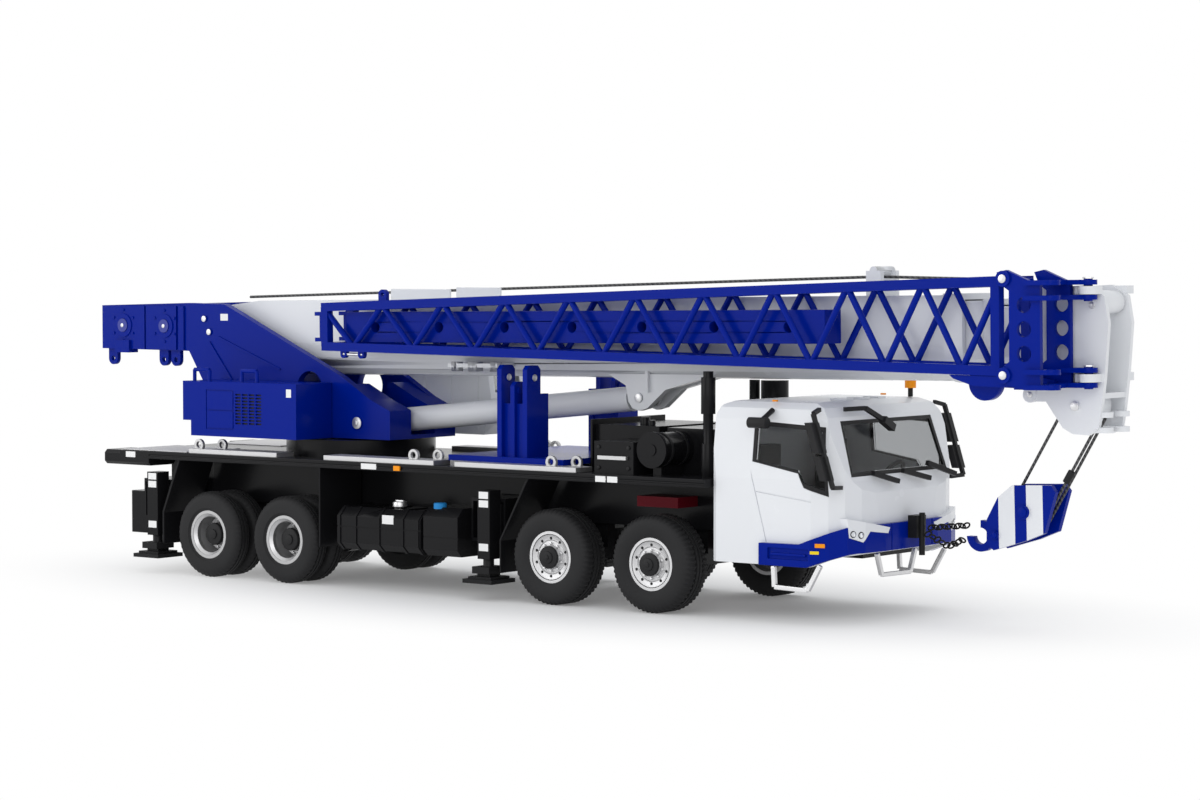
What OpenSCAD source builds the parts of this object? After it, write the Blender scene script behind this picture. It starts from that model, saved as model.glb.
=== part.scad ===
// Truck crane, a 1:50 die-cast scale model. Sizes in mm.
// X points forward, Y to the left, Z up, and the ground is Z = 0.
// Carrier pieces are measured from the front axle, boom pieces from the boom's pivot.

/* [Carrier] */
// front axle from the middle of the model
front_axle_x = 44.6; // [40:0.2:50]
// first to second axle
axle_12 = 30; // [28:0.5:33]
// second to third axle
axle_23 = 86.4; // [84:0.2:92]
// third to fourth axle
axle_34 = 27; // [26:0.5:30]
// half the width of the deck
deck_half = 29; // [28:0.5:31]
// Width of the boards along the edges of the deck
board_w = 7; // [5:0.5:8]
// height of the deck's top
deck_top = 32.3; // [31.5:0.1:33.5]
// thickness of the deck's edge
deck_t = 2; // [1.5:0.1:2.5]

/* [Wheels] */
// radius of a front tyre
front_r = 11.6; // [11:0.1:12]
// radius of a rear tyre
rear_r = 11.2; // [10.6:0.1:11.6]
// width of a front tyre
front_w = 8.6; // [8:0.1:9]
// width of one twin tyre
twin_w = 5.4; // [5:0.1:5.6]
// outer face of the wheels from the middle
wheel_half = 28.4; // [28:0.1:29.5]

/* [Cab] */
// rear wall of the driver's cab
cab_rear = 16.5; // [16:0.1:18]
// length of the cab
cab_len = 37; // [36:0.5:40]
// half the width of the cab
cab_half = 26.3; // [25.5:0.1:27]
// top of the roof
cab_top = 50.8; // [49:0.1:52]

/* [Superstructure] */
// slewing axis behind the front axle
slew_back = 115; // [113:0.5:117]
// radius of the slewing ring
ring_r = 19.6; // [18:0.1:21]
// half the width over the side plates
plate_half = 13; // [12.6:0.1:13.4]
// thickness of a side plate
plate_t = 2.2; // [1.8:0.1:2.6]
// boom pivot behind the slewing axis
pivot_back = 43.5; // [42:0.5:45]
// height of the boom pivot
pivot_z = 65.5; // [64:0.5:68]
// radius of the boom pivot pin
pivot_r = 2.2; // [1.8:0.1:2.6]

/* [Boom] */
// angle of the lowered boom
boom_rest = 0.8; // [0:0.1:2]
// width of the base section
boom_w = 15; // [14:0.2:16]
// bottom of the base section under the pivot
boom_low = 13.2; // [12.6:0.2:14]
// top of the base section over the pivot
boom_high = 6.4; // [6:0.2:7]
// front end of the base section from the pivot
boom_len = 231; // [226:1:236]
// wall of a boom section
boom_wall = 1; // [0.8:0.1:1.2]
// step from one section to the next
boom_step = 1.3; // [1.2:0.05:1.4]

/* [Luffing cylinder] */
// cylinder foot ahead of the slewing axis
foot_ahead = 10.4; // [9:0.2:12]
// height of the cylinder foot
foot_z = 41; // [40:0.2:42]
// boom bracket from the pivot, along the boom
bracket_x = 137.6; // [134:0.2:142]
// boom bracket pin under the pivot
bracket_low = 18; // [17.4:0.1:18.4]
// radius of the barrel
barrel_r = 3.1; // [2.8:0.1:3.3]

/* [Jib] */
// jib middle from the boom middle
jib_y = 16.5; // [16:0.1:17.5]
// half the width of the jib
jib_half = 7.7; // [7.4:0.1:8]
// half the height at the base
jib_base_h = 10.9; // [10:0.1:11.5]
// half the height at the tip
jib_tip_h = 6.1; // [5.5:0.1:7]
// base of the lattice ahead of the base section's end
jib_ahead = 19; // [17:0.5:21]
// length of the lattice
jib_len = 200; // [190:1:206]
// side of a chord
chord = 2.2; // [1.8:0.1:2.6]

/* [Outriggers] */
// width of one outrigger beam
beam_w = 4.2; // [3.8:0.1:4.4]
// height of one outrigger beam
beam_h = 8.4; // [7.5:0.1:9]
// half the side of a pad
pad_half = 4.6; // [4:0.1:4.9]

/* [Counterweight] */
// rear edge of the base plate, behind the front axle
weight_back = 65; // [63:0.5:65.5]
// length of the base plate
weight_len = 36; // [34:0.5:38]
// height of the tall ears over the base plate
ear_h = 22.4; // [18:0.2:22.6]

/* [Hidden] */
$fn = 40;
a1 = 0;
a2 = -axle_12;
a3 = a2 - axle_23;
a4 = a3 - axle_34;
deck_low = deck_top - deck_t;
deck_rear = a4 - 32;
rail_in = 8.5;
rail_out = 11.5;
rail_low = 19;
slew_x = -slew_back;
pivot_x = slew_x - pivot_back;
foot_x = slew_x + foot_ahead;
kingpin_y = wheel_half - front_w - 3.6;
twin_gap = 1.4;
twin_in = wheel_half + 0.3 - 2 * twin_w - twin_gap;
rim_r = 6.3;
cab_front = cab_rear + cab_len;
cab_low = 13.3;
front_box = a2 - 22.6;
rear_box = a4 - 22.7;
beam_z = 15;
box_half = 23.6;
out_gap = 0.6;
plank = 1.2;
weight_top = deck_top + plank + 1.4;
jib_base_x = boom_len + jib_ahead;
guide_x = boom_len - 26;
post_x = -weight_back + 14.4;

// placing: from the front axle, along the boom, and on both sides
module place() { translate([front_axle_x, 0, 0]) children(); }
module on_boom() {
    place() translate([pivot_x, 0, pivot_z]) rotate([0, -boom_rest, 0]) children();
}
module both() { children(); mirror([0, 1, 0]) children(); }

// a box between limits, rods along the three axes, and prisms along Y and X
module box(x0, x1, y0, y1, z0, z1) { translate([x0, y0, z0]) cube([x1 - x0, y1 - y0, z1 - z0]); }
module ycyl(x, z, r, y0, y1) { translate([x, y1, z]) rotate([90, 0, 0]) cylinder(h = y1 - y0, r = r); }
module xcyl(y, z, r, x0, x1) { translate([x0, y, z]) rotate([0, 90, 0]) cylinder(h = x1 - x0, r = r); }
module zcyl(x, y, r, z0, z1) { translate([x, y, z0]) cylinder(h = z1 - z0, r = r); }
module yprism(pts, y0, y1) {
    translate([0, y1, 0]) rotate([90, 0, 0])
        linear_extrude(y1 - y0) polygon(pts);
}
module xprism(pts, x0, x1) {
    translate([x0, 0, 0]) rotate([90, 0, 90])
        linear_extrude(x1 - x0) polygon(pts);
}
module zprism(pts, z0, z1) { translate([0, 0, z0]) linear_extrude(z1 - z0) polygon(pts); }
// a round rod from one point to another
module rod(p, q, r) {
    d = q - p;
    l = norm(d);
    translate(p) rotate([0, acos(d[2] / l), atan2(d[1], d[0])]) cylinder(h = l, r = r);
}

// Carrier: rails, cross-members and the dropped nose under the cab
module frame() {
    color("black") place() {
        both() difference() {
            union() {
                box(deck_rear + 2, cab_rear - 0.3, rail_in, rail_out, rail_low, deck_low);
                box(12, cab_front - 5, rail_in, rail_out, 14.5, 20);
            }
            for (x = [front_box, rear_box]) box(x - box_hx, x + box_hx, 0, 20, 10, beam_z + beam_h + 1.2);
        }
        for (x = [a3 - 13.5, a3 + 26, a2 - 12, a2 + 13.5, 11])
            box(x, x + 3, -rail_in, rail_in, rail_low + 2, deck_low - 3);
        box(deck_rear + 2, deck_rear + 5, -rail_in, rail_in, beam_z + beam_h + 1.5, deck_low);
        box(deck_rear - 2.6, deck_rear + 3.4, -22, 22, 9.7, 21);
        box(cab_front - 8, cab_front - 5, -rail_in, rail_in, 14.5, 20);
    }
}

// deck plate with mudguards hanging from its edges
module deck() {
    deep = deck_low + 0.2;
    wide = deck_half - 0.8;
    color("black") place() {
        difference() {
            box(deck_rear, cab_rear - 0.4, -deck_half, deck_half, deck_low, deck_top);
            both() box(deck_rear - 1, cab_rear + 1, deck_half - 0.25, deck_half + 1, deck_low + 0.7,
                deck_low + 1.1);
        }
        both() {
            box(a4 - 13, a3 + 12.4, 12.4, 13, rail_low, deep);
            box(a2 - 12.4, a1 + 12.6, 12.4, 13, rail_low, deep);
            yprism([[a4 - 16.9, 7.9], [a4 - 16.2, 7.9], [a4 - 16.2, 16.2], [a4 - 10.2, deep],
                [a4 - 11, deep],
                [a4 - 16.9, 16.4]], 15, wide);
            box(a3 + 11.8, a3 + 12.4, 13, wide, 10, deep);
            yprism([[a2 - 15.4, 6.9], [a2 - 14.9, 6.9], [a2 - 14.9, 14.8], [a2 - 6.2, deep],
                [a2 - 6.9, deep],
                [a2 - 15.4, 15]], 15, wide);
            xprism([[19, 29.2], [19.8, 28.4], [deck_half - 0.8, 28.4], [deck_half, 29.2],
                [deck_half, deck_top - 0.8],
                [deck_half - 0.8, deck_top], [19, deck_top]], deck_rear - 5.6, deck_rear + 11);
        }
    }
}

// silver chequer plates and lashing rings on the deck
module lashing(x, y) {
    translate([x, y, deck_top + plank + 0.9]) rotate([90, 0, 0]) difference() {
        union() {
            cylinder(h = 0.9, r = 1.6);
            translate([-1, -1.3, 0]) cube([2, 1.3, 0.9]);
        }
        translate([0, 0.1, -1]) cylinder(h = 3, r = 0.8);
    }
}
module deck_plates() {
    color("silver") place() {
        both() {
            difference() {
                box(deck_rear + 0.6, slew_x - 36, 8, deck_half - 0.6, deck_top, deck_top + 0.3);
                zcyl(slew_x, 0, ring_r + 0.6, 30, 40);
            }
            for (r = [[slew_x - 35, slew_x - 3.7], [slew_x + 12.5, slew_x + 49],
                [-weight_back + 5.7, -21.6]])
                box(r[0], r[1], deck_half - board_w, deck_half - 0.4, deck_top, deck_top + plank);
            for (x = [slew_x - 33, slew_x + 41, -weight_back + 34.5]) {
                lashing(x, deck_half - 2);
                lashing(x + 5.4, deck_half - board_w + 2);
            }
        }
        box(-16.5, -8, -26.9, -26.4, 35.7, 36.6);
        for (x = [-16.5, -8.7]) box(x, x + 0.7, -26.5, -26.02, 35.7, 36.6);
    }
}

// driver's cab: three outlines meet to make the shell
cab_mid = (cab_rear + cab_front) / 2;
cab_zm = 32;
cab_side = [[cab_rear, cab_low], [cab_front - 10, cab_low], [cab_front - 1, cab_low + 3.2],
    [cab_front - 0.2, 22], [cab_front - 0.4, 30],
    [cab_front - 1.8, 32.8], [cab_front - 6.3, cab_top - 3.5], [cab_front - 8, cab_top - 1.4],
    [cab_front - 11.5, cab_top - 0.2], [cab_rear + 3.5, cab_top - 0.3], [cab_rear + 1, cab_top - 1.2],
    [cab_rear, cab_top - 3.2]];
cab_plan_half = [[cab_rear, cab_half - 0.8], [cab_rear + 1.2, cab_half], [cab_front - 9.5, cab_half],
    [cab_front - 5.5, cab_half - 1.2], [cab_front - 2.6, cab_half - 3.6], [cab_front - 0.9, cab_half - 8],
    [cab_front - 0.2, cab_half - 15]];
cab_face_half = [[cab_half, cab_low], [cab_half, 33], [cab_half - 1.7, cab_top - 4.3],
    [cab_half - 2.7, cab_top - 1.8], [cab_half - 4.6, cab_top - 0.4], [12, cab_top]];
function flip(pts) = [for (i = [len(pts) - 1 : -1 : 0]) [pts[i][0], -pts[i][1]]];
function flop(pts) = [for (i = [len(pts) - 1 : -1 : 0]) [-pts[i][0], pts[i][1]]];
function shrink(pts, c, s) = [for (p = pts) [c[0] + (p[0] - c[0]) * s[0], c[1] + (p[1] - c[1]) * s[1]]];
// the cab's outer form, drawn in by t all round
module cab_form(t) {
    sx = 1 - t * 2 / cab_len;
    sy = 1 - t / cab_half;
    sz = 1 - t / 18.8;
    intersection() {
        yprism(shrink(cab_side, [cab_mid, cab_zm], [sx, sz]), -40, 40);
        zprism(shrink(concat(cab_plan_half, flip(cab_plan_half)), [cab_mid, 0], [sx, sy]), 0, 80);
        xprism(shrink(concat(cab_face_half, flop(cab_face_half)), [0, cab_zm], [sy, sz]), 0, 80);
    }
}
screen_pts = [[-20.8, 33.8], [20.8, 33.8], [19.6, cab_top - 4.4], [-19.6, cab_top - 4.4]];
door_pts = [[cab_front - 26, cab_top - 4.6], [cab_front - 26, 36.8], [cab_front - 13.2, 34.5],
    [cab_front - 11.5, 31.3], [cab_front - 5.4, 29.4], [cab_front - 6.4, cab_top - 5.6]];
module cab_openings(g) {
    xprism(shrink(screen_pts, [0, 40], [1 - g / 20, 1 - g / 6.5]), cab_mid, cab_front + 5);
    both() yprism(shrink(door_pts, [cab_front - 16, 39], [1 - g / 10, 1 - g / 6]), cab_half - 6,
        cab_half + 5);
}
// lamp panels let into the bumper, and the lines of doors and panels
lamp_pts = [[cab_half - 2.7, 24.6], [9.5, 21.9], [10.3, 20.6], [17, 21.4], [19.3, 19],
    [cab_half - 3.3, 20.2]];
module lamp_panels(g) {
    both() xprism(shrink(lamp_pts, [17, 21.6], [1 - g / 7, 1 - g / 2.6]), cab_front - 7, cab_front + 4);
}
module line(p, q, w) {
    d = q - p;
    l = norm(d);
    n = [-d[1], d[0]] * w / l / 2;
    yprism([p - n, q - n, q + n, p + n], cab_half - 0.25, cab_half + 3);
}
module cab_lines() {
    both() {
        line([cab_rear - 1, 37.1], [cab_front - 26.6, 36.4], 0.3);
        line([cab_front - 26.6, 36.4], [cab_front - 21.6, 18.3], 0.3);
        line([cab_front - 24.6, 30], [cab_front - 9.5, 28.2], 0.25);
    }
}
module cab_shell() {
    color("white") place() difference() {
        union() {
            cab_form(0);
            intersection() {
                zprism(concat(bump_plan, flip(bump_plan)), cab_low, 26);
                lamp_panels(0.05);
            }
            for (y = [-7, 0, 7]) box(cab_front - 16, cab_front - 11.6, y - 1.6, y + 1.6, cab_top - 1,
                cab_top + 0.25);
        }
        cab_form(1.3);
        cab_openings(0);
        cab_lines();
        box(cab_rear - 1, cab_front - 3, -cab_half + 1.6, cab_half - 1.6, 5, 20.2);
    }
}
module cab_glass() {
    color("lightblue") place() intersection() {
        difference() { cab_form(0.4); cab_form(1.0); }
        cab_openings(0.95);
    }
}
module cab_interior() {
    color("dimgray") place() {
        intersection() {
            box(cab_rear + 1.6, cab_front - 4, -cab_half + 2, cab_half - 2, 20.3, 21.4);
            cab_form(1.6);
        }
        for (y = [-14, 14]) {
            box(cab_rear + 7, cab_rear + 16, y - 4.5, y + 4.5, 21.4, 28);
            box(cab_rear + 5, cab_rear + 8, y - 4.5, y + 4.5, 21.4, 40);
        }
        box(cab_front - 11, cab_front - 5, -20, 20, 21.4, 31);
        translate([cab_front - 13, 14, 32]) rotate([0, -55, 0])
            difference() {
                cylinder(h = 0.8, r = 4);
                translate([0, 0, -1]) cylinder(h = 3, r = 3.2);
            }
        rod([cab_front - 13, 10.2, 32.4], [cab_front - 13, 17.8, 32.4], 0.4);
        rod([cab_front - 13, 14, 32.4], [cab_front - 8, 14, 29], 0.6);
    }
}
// blue bumper wrapped round the cab's nose
bump_plan = [[cab_front - 23, cab_half], [cab_front - 23, cab_half + 1.3],
    [cab_front - 9, cab_half + 1.3],
    [cab_front - 4.6, cab_half - 0.1], [cab_front - 1.4, cab_half - 2.8],
    [cab_front + 0.4, cab_half - 7.6],
    [cab_front + 1.2, cab_half - 15]];
module bumper() {
    color("blue") place() difference() {
        zprism(concat(bump_plan, flip(bump_plan)), cab_low, 22.8);
        zprism(concat(cab_plan_half, flip(cab_plan_half)), 0, 60);
        yprism([[cab_rear, 18.2], [cab_front - 12, 18.5], [cab_front - 1, 22.8], [cab_front - 1, 40],
            [cab_rear, 40]], -40, 40);
        yprism([[cab_front - 10, cab_low], [cab_front - 1, cab_low + 3.2], [cab_front + 5, cab_low + 3.4],
            [cab_front + 5, 5], [cab_front - 10, 5]], -40, 40);
        lamp_panels(0);
        both() {
            difference() {
                box(cab_front - 20.5, cab_front - 9.4, cab_half + 0.7, cab_half + 5, 14.9, 17.4);
                box(cab_front - 19.8, cab_front - 10.2, cab_half, cab_half + 1.2, 15.7, 16.3);
            }
            box(cab_front + 0.8, cab_front + 4, 8.6, 8.9, 10, 30);
        }
    }
}
// silver hoop steps under the sides and the front
module wire(pts, r) { for (i = [0 : len(pts) - 2]) rod(pts[i], pts[i + 1], r); }
module wire(pts, r) { for (i = [0 : len(pts) - 2]) rod(pts[i], pts[i + 1], r); }
module hoop(pts, s) { for (i = [0 : len(pts) - 2]) bar(pts[i], pts[i + 1], s); }
module cab_steps() {
    h = cab_half + 0.6;
    f = cab_front + 0.2;
    color("silver") place() {
        both() hoop([[cab_front - 19.2, h, cab_low - 0.1], [cab_front - 18.9, h, 8.4],
            [cab_front - 9.8, h, 8.1],
            [cab_front - 6.4, h, cab_low + 0.7]], 1);
        hoop([[f, -13.6, cab_low + 2.9], [f, -11.6, 11.1], [f, 0.6, 10.9], [f, 2.8, cab_low + 2.9]], 1);
    }
}
// mirrors on arms and the wipers
module cab_trim() {
    out = cab_half + 2.1;
    color("black") place() {
        // window rubbers
        intersection() {
            difference() { cab_form(0.12); cab_form(1.1); }
            difference() { cab_openings(0.03); cab_openings(0.9); }
        }
        // mirrors on their loops
        both() {
            hoop([[cab_front - 8.2, cab_half - 1.5, cab_top - 1.6], [cab_front - 7.5, out, cab_top - 2.4],
                [cab_front - 2.2, out, 31.8], [cab_front - 3, cab_half - 2.6, 31.6]], 0.9);
            yprism([[cab_front - 8.6, 46.4], [cab_front - 6.9, 46.4], [cab_front - 4.7, 39.6],
                [cab_front - 6.4, 39.6]],
                cab_half + 0.6, cab_half + 4.1);
            yprism([[cab_front - 6.2, 38.8], [cab_front - 4.5, 38.8], [cab_front - 2.8, 33.4],
                [cab_front - 4.5, 33.4]],
                cab_half + 0.6, cab_half + 4.1);
        }
        // kerb mirror, front mirror, wipers and the beacon's stem
        xcyl(-out, 45.9, 1.25, cab_front - 25, cab_front - 20);
        rod([cab_front - 21.6, -out, 46.4], [cab_front - 21.4, -cab_half + 2.1, 48.7], 0.6);
        hoop([[cab_front - 6.6, -17, cab_top - 1.8], [cab_front - 3.8, -12.5, cab_top - 1.6],
            [cab_front - 2.9, -5.2, 45.9]], 1);
        bar([cab_front - 2.9, -6.4, 46.4], [cab_front - 2.9, -2.2, 44.3], 1.7);
        for (w = [[-13, 34.4, -4.7, 32.2], [-0.3, 34.4, 9.1, 32.2], [11.1, 35.6, 20.5, 32.6]])
            bar([cab_front - 0.5 - (w[1] - 32.2) * 0.34, w[0], w[1]], [cab_front + 0.3, w[2], w[3]], 1.1);
        zcyl(cab_front - 11, 18.6, 0.6, cab_top - 0.22, cab_top + 1.8);
    }
}
// headlamps, side markers, tail lamps and the beacon
module lamps() {
    color("orange") place() {
        both() {
            box(deck_rear - 6.3, deck_rear - 5.6, deck_half - 8.5, deck_half - 1.2, 29, deck_top - 0.8);
            box(a3 + 38, a3 + 40, deck_half, deck_half + 0.4, deck_low + 0.3, deck_low + 1.5);
            zprism([for (p = [[0.3, 0.02], [0.8, 0.02], [0.8, 0.4], [0.3, 0.4]])
                bump_plan[2] + (bump_plan[3] - bump_plan[2]) * p[0] + [0.303, 0.953] * p[1]], 18, 18.9);
            box(cab_front - 22, cab_front - 20.9, cab_half - 3.6, cab_half - 2.8, cab_top - 0.2,
                cab_top + 0.2);
        }
        zcyl(cab_front - 11, 18.6, 1.35, cab_top + 1.85, cab_top + 4);
    }
}
// air cleaner, boxes, exhaust stack and tall canisters behind the cab
module powerpack() {
    color("black") place() {
        // tool boxes, hydraulic tank with filler caps, engine hood
        box(-18, -6.4, -26, -14.6, deck_top, 40);
        box(-18, -6.4, 14.6, 26, deck_top, 40);
        box(-27, -8, -13.5, 13.5, deck_top, 43.2);
        box(-27.6, -27, -15, 15, deck_top, 44.4);
        zcyl(-17, -7, 1.2, 43, 45);
        zcyl(-13, -9.6, 0.9, 43, 44.4);
        box(-5.5, cab_rear - 1.2, -13.5, 13.5, deck_top, 43);
        box(cab_rear - 4, cab_rear - 1.2, -16, 24, deck_top, 49);
        // air cleaner on its feet
        ycyl(-1.6, deck_top + 6, 4, -24.6, -13);
        ycyl(-1.6, deck_top + 6, 4.3, -25.4, -24.2);
        ycyl(-1.6, deck_top + 6, 1.4, -25.7, -25.2);
        box(-2.8, -0.4, -23, -14, deck_top, deck_top + 3);
        // exhaust stack and tall canisters
        zcyl(11, -20, 1.2, deck_top, 57);
        zcyl(11, -20, 1.7, 47, 55.6);
        zcyl(11, -20, 1.7, deck_top, 40);
        zcyl(-2, 18, 1.3, deck_top, 53.6);
        zcyl(4, 18, 3.4, deck_top, 53.6);
    }
}
module engine() {
    color("darkred") place() {
        box(a2 + 16.5, 11, -7.6, 7.6, 14, deck_low - 3);
        box(-9, 3, -21, -13.02, 24.5, 27);
    }
}
// fuel tanks and tool boxes hung on the rails
tank_x = a3 + 18;
function tank_pts(z0, z1, e) = [[14 - e, z0 + 1.6], [15.6, z0 - e], [26.4, z0 - e], [28 + e, z0 + 1.6],
    [28 + e, z1 - 2.2],
    [25.8, z1 + e], [15.6, z1 + e], [14 - e, z1 - 1.6]];
module tanks() {
    end = front_box - 6.2;
    color("black") place() both() {
        difference() {
            union() {
                xprism(tank_pts(10, 20.6, 0), tank_x, tank_x + 27.6);
                for (x = [0.4, 5.8, 13.6, 21.4, 26.4])
                    xprism(tank_pts(10, 20.6, 0.3), tank_x + x, tank_x + x + 0.8);
            }
            box(tank_x - 1, tank_x + 30, 27.8, 30, 15.6, 15.9);
        }
        zcyl(tank_x + 15.4, 21.5, 1.7, 20.4, 22);
        for (x = [tank_x + 3, tank_x + 20]) box(x, x + 3, rail_out, 15, rail_low, rail_low + 1.4);
        difference() {
            xprism(tank_pts(9.8, 21.8, 0), tank_x + 28.6, end);
            box(tank_x + 28, end + 1, 27.8, 30, 14.4, 14.7);
        }
        zcyl(tank_x + 31.6, 25, 1.5, 20, 22.6);
        box(tank_x + 30, tank_x + 34, rail_out, 15, rail_low, rail_low + 2);
    }
}
// outrigger boxes across the frame, open at both ends for the beams
box_hx = beam_w + 0.3 + out_gap + 0.3;
module out_box(x) {
    difference() {
        box(x - box_hx, x + box_hx, -box_half, box_half, beam_z - 1.2, beam_z + beam_h + 1.2);
        box(x - box_hx + 0.6, x + box_hx - 0.6, -box_half - 1, box_half + 1, beam_z - 0.3,
            beam_z + beam_h + 0.3);
    }
}
module outrigger_boxes() {
    color("black") place() {
        out_box(front_box);
        out_box(rear_box);
    }
}
// one beam with its jack tube, drawn for the right-hand side
module beam(x) {
    color("black") place() difference() {
        union() {
            box(x - beam_w / 2, x + beam_w / 2, -box_half - 0.6, box_half - 4.6, beam_z, beam_z + beam_h);
            box(x - 1.9, x + 1.9, -box_half - 4.8, -box_half - 0.5, beam_z - 5, beam_z + beam_h + 3.4);
        }
        zcyl(x, -box_half - 2.8, 1.4, 0, beam_z + beam_h + 2);
    }
}
// one jack: rod and pad
module jack(x) {
    color("dimgray") place() translate([x, -box_half - 2.8, 0]) {
        zcyl(0, 0, 1.35, 5, beam_z + beam_h + 1.4);
        box(-pad_half, pad_half, -pad_half, pad_half, 4.2, 5.2);
        box(-pad_half + 1, pad_half - 1, -pad_half + 1, pad_half - 1, 5.1, 5.8);
        box(-2, 2, -2, 2, 5.7, 6.6);
        box(-2.7, 2.7, -3.2, 3.2, 6.5, 8.2);
    }
}
beam_off = beam_w / 2 + out_gap / 2;
module beam_fr() { beam(front_box + beam_off); }
module beam_fl() { mirror([0, 1, 0]) beam(front_box - beam_off); }
module beam_rr() { beam(rear_box + beam_off); }
module beam_rl() { mirror([0, 1, 0]) beam(rear_box - beam_off); }
module jack_fr() { jack(front_box + beam_off); }
module jack_fl() { mirror([0, 1, 0]) jack(front_box - beam_off); }
module jack_rr() { jack(rear_box + beam_off); }
module jack_rl() { mirror([0, 1, 0]) jack(rear_box - beam_off); }

// counterweight slab carried on the deck, with a pair of lifting posts
module counterweight() {
    w = weight_top;
    color("blue") place() {
        box(-weight_back, -weight_back + weight_len, -24, 24, deck_top + plank, w);
        both() {
            for (x = [post_x, post_x + 8]) {
                xprism([[14.2, w - 0.2], [22.6, w - 0.2], [22.6, w + ear_h - 1], [21.6, w + ear_h],
                    [18.3, w + ear_h],
                    [17.3, w + ear_h - 1], [17.3, w + 15.4], [14.2, w + 15.4]], x, x + 1.4);
                xcyl(20, w + ear_h - 3, 0.8, x - 0.3, x + 1.7);
            }
            xprism([[18.4, w - 0.2], [22.4, w - 0.2], [22.4, w + 17.4], [21.4, w + 18.4],
                [19.4, w + 18.4],
                [18.4, w + 17.4]], post_x + 4, post_x + 5.3);
            xcyl(20.4, w + 16.2, 0.8, post_x + 3.7, post_x + 5.6);
            box(post_x + 1, post_x + 8.4, 20.2, 21.4, w - 0.2, w + 13);
            box(post_x + 1, post_x + 8.4, 14.7, 15.9, w - 0.2, w + 11);
        }
    }
}

// beam axles in front, tube axles with a differential behind
module axles() {
    color("black") place() {
        for (x = [a1, a2]) {
            box(x - 1.6, x + 1.6, -kingpin_y + 2.4, kingpin_y - 2.4, front_r - 1.6, front_r + 1.6);
            both() {
                box(x - 1.1, x + 1.1, kingpin_y - 3, kingpin_y + 1, front_r - 1.2, front_r + 1.2);
                zcyl(x, kingpin_y, 0.8, front_r - 3.2, front_r + 3.2);
                box(x - 5, x + 5, rail_in, rail_out, front_r + 1.6, rail_low);
                box(x - 1.6, x + 1.6, rail_in, rail_out, front_r, front_r + 3);
            }
        }
        for (x = [a3, a4]) difference() {
            union() {
                ycyl(x, rear_r, 2.6, -twin_in + 0.6, twin_in - 0.6);
                ycyl(x, rear_r, 4.6, -5, 5);
                both() box(x - 5, x + 5, rail_in, rail_out, rear_r + 1, rail_low);
            }
            ycyl(x, rear_r, 1.46, -30, 30);
        }
    }
}
module turntable_ring() {
    color("black") place() {
        zcyl(slew_x, 0, ring_r, deck_top, 36.6);
        zcyl(slew_x, 0, 6, deck_top, 38.6);
    }
}
// towing eye and the chain that holds the hook
module strand(p, q) {
    n = max(1, floor(norm(q - p) / 1.15));
    for (i = [0 : n]) translate(p + (q - p) * i / n) rotate([i % 2 * 90 + 45, 0, 0])
        rotate_extrude($fn = 16) translate([0.8, 0]) circle(r = 0.2, $fn = 14);
}
module tow_chain() {
    f = cab_front + 1.25;
    hook = [block_x - 17.6, 0, block_z - 5.4];
    low = [(f + 4.6 + hook[0]) / 2, 0, 17.6];
    color("black") place() {
        box(f, f + 2.4, -2, 2, 19, 24.2);
        zcyl(f + 2.6, 0, 0.7, 15, 24.8);
        strand([f + 4.6, 0.9, 21.4], hook + [0, 0.9, 1.2]);
        strand([f + 4.8, -0.9, 20], low);
        strand(low + [1.15, 0, 0], hook + [0, -0.9, -2]);
    }
}

// steering knuckle, drawn for the right-hand side
module knuckle(x) {
    color("dimgray") place() difference() {
        union() {
            for (z = [1.4, -3]) {
                box(x - 1.5, x + 1.5, -kingpin_y - 2.6, -kingpin_y, front_r + z, front_r + z + 1.6);
                zcyl(x, -kingpin_y, 1.5, front_r + z, front_r + z + 1.6);
            }
            box(x - 1.5, x + 1.5, -kingpin_y - 2.9, -kingpin_y - 1.9, front_r - 3, front_r + 3);
            ycyl(x, front_r, 1.4, -wheel_half + 1.6, -kingpin_y - 2);
        }
        zcyl(x, -kingpin_y, 0.86, front_r - 4, front_r + 4);
    }
}
module knuckle_r1() { knuckle(a1); }
module knuckle_r2() { knuckle(a2); }
module knuckle_l1() { mirror([0, 1, 0]) knuckle(a1); }
module knuckle_l2() { mirror([0, 1, 0]) knuckle(a2); }

// a tyre and rims as turned rings, with the outer face away from the vehicle
module turned(x, z, y) { translate([x, -y, z]) rotate([90, 0, 0]) rotate_extrude($fn = 64) children(); }
module tyre_ring(r, w) {
    polygon([[rim_r, 0.5], [r - 2.2, 0], [r - 0.7, 0.4], [r, 1.3], [r, w - 1.3], [r - 0.7, w - 0.4],
        [r - 2.2, w],
        [rim_r, w - 0.5]]);
}
module front_tyre(x) {
    color("black") place() turned(x, front_r, wheel_half - front_w) tyre_ring(front_r, front_w);
}
module front_rim(x) {
    color("silver") place() difference() {
        turned(x, front_r, wheel_half - front_w)
            polygon([[1.46, 0.5], [2.6, 0.5], [2.6, 4.6], [5.4, 4.6], [5.4, 0.6], [rim_r - 0.02, 0.6],
                [rim_r - 0.02, front_w - 0.6], [5.6, front_w - 0.6], [5.2, front_w - 2.4],
                [4.6, front_w - 2.6],
                [3, front_w - 1.4], [2.6, front_w + 0.2], [0, front_w + 0.2], [0, front_w - 1.2],
                [1.46, front_w - 1.2]]);
        for (i = [0 : 9]) translate([x, 0, front_r]) rotate([0, i * 36, 0])
            translate([4.15, -wheel_half - 1, 0]) rotate([-90, 0, 0]) cylinder(h = 6, r = 0.6, $fn = 16);
    }
}
module tyre_r1() { front_tyre(a1); }
module tyre_r2() { front_tyre(a2); }
module tyre_l1() { mirror([0, 1, 0]) front_tyre(a1); }
module tyre_l2() { mirror([0, 1, 0]) front_tyre(a2); }
module rim_r1() { front_rim(a1); }
module rim_r2() { front_rim(a2); }
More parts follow.
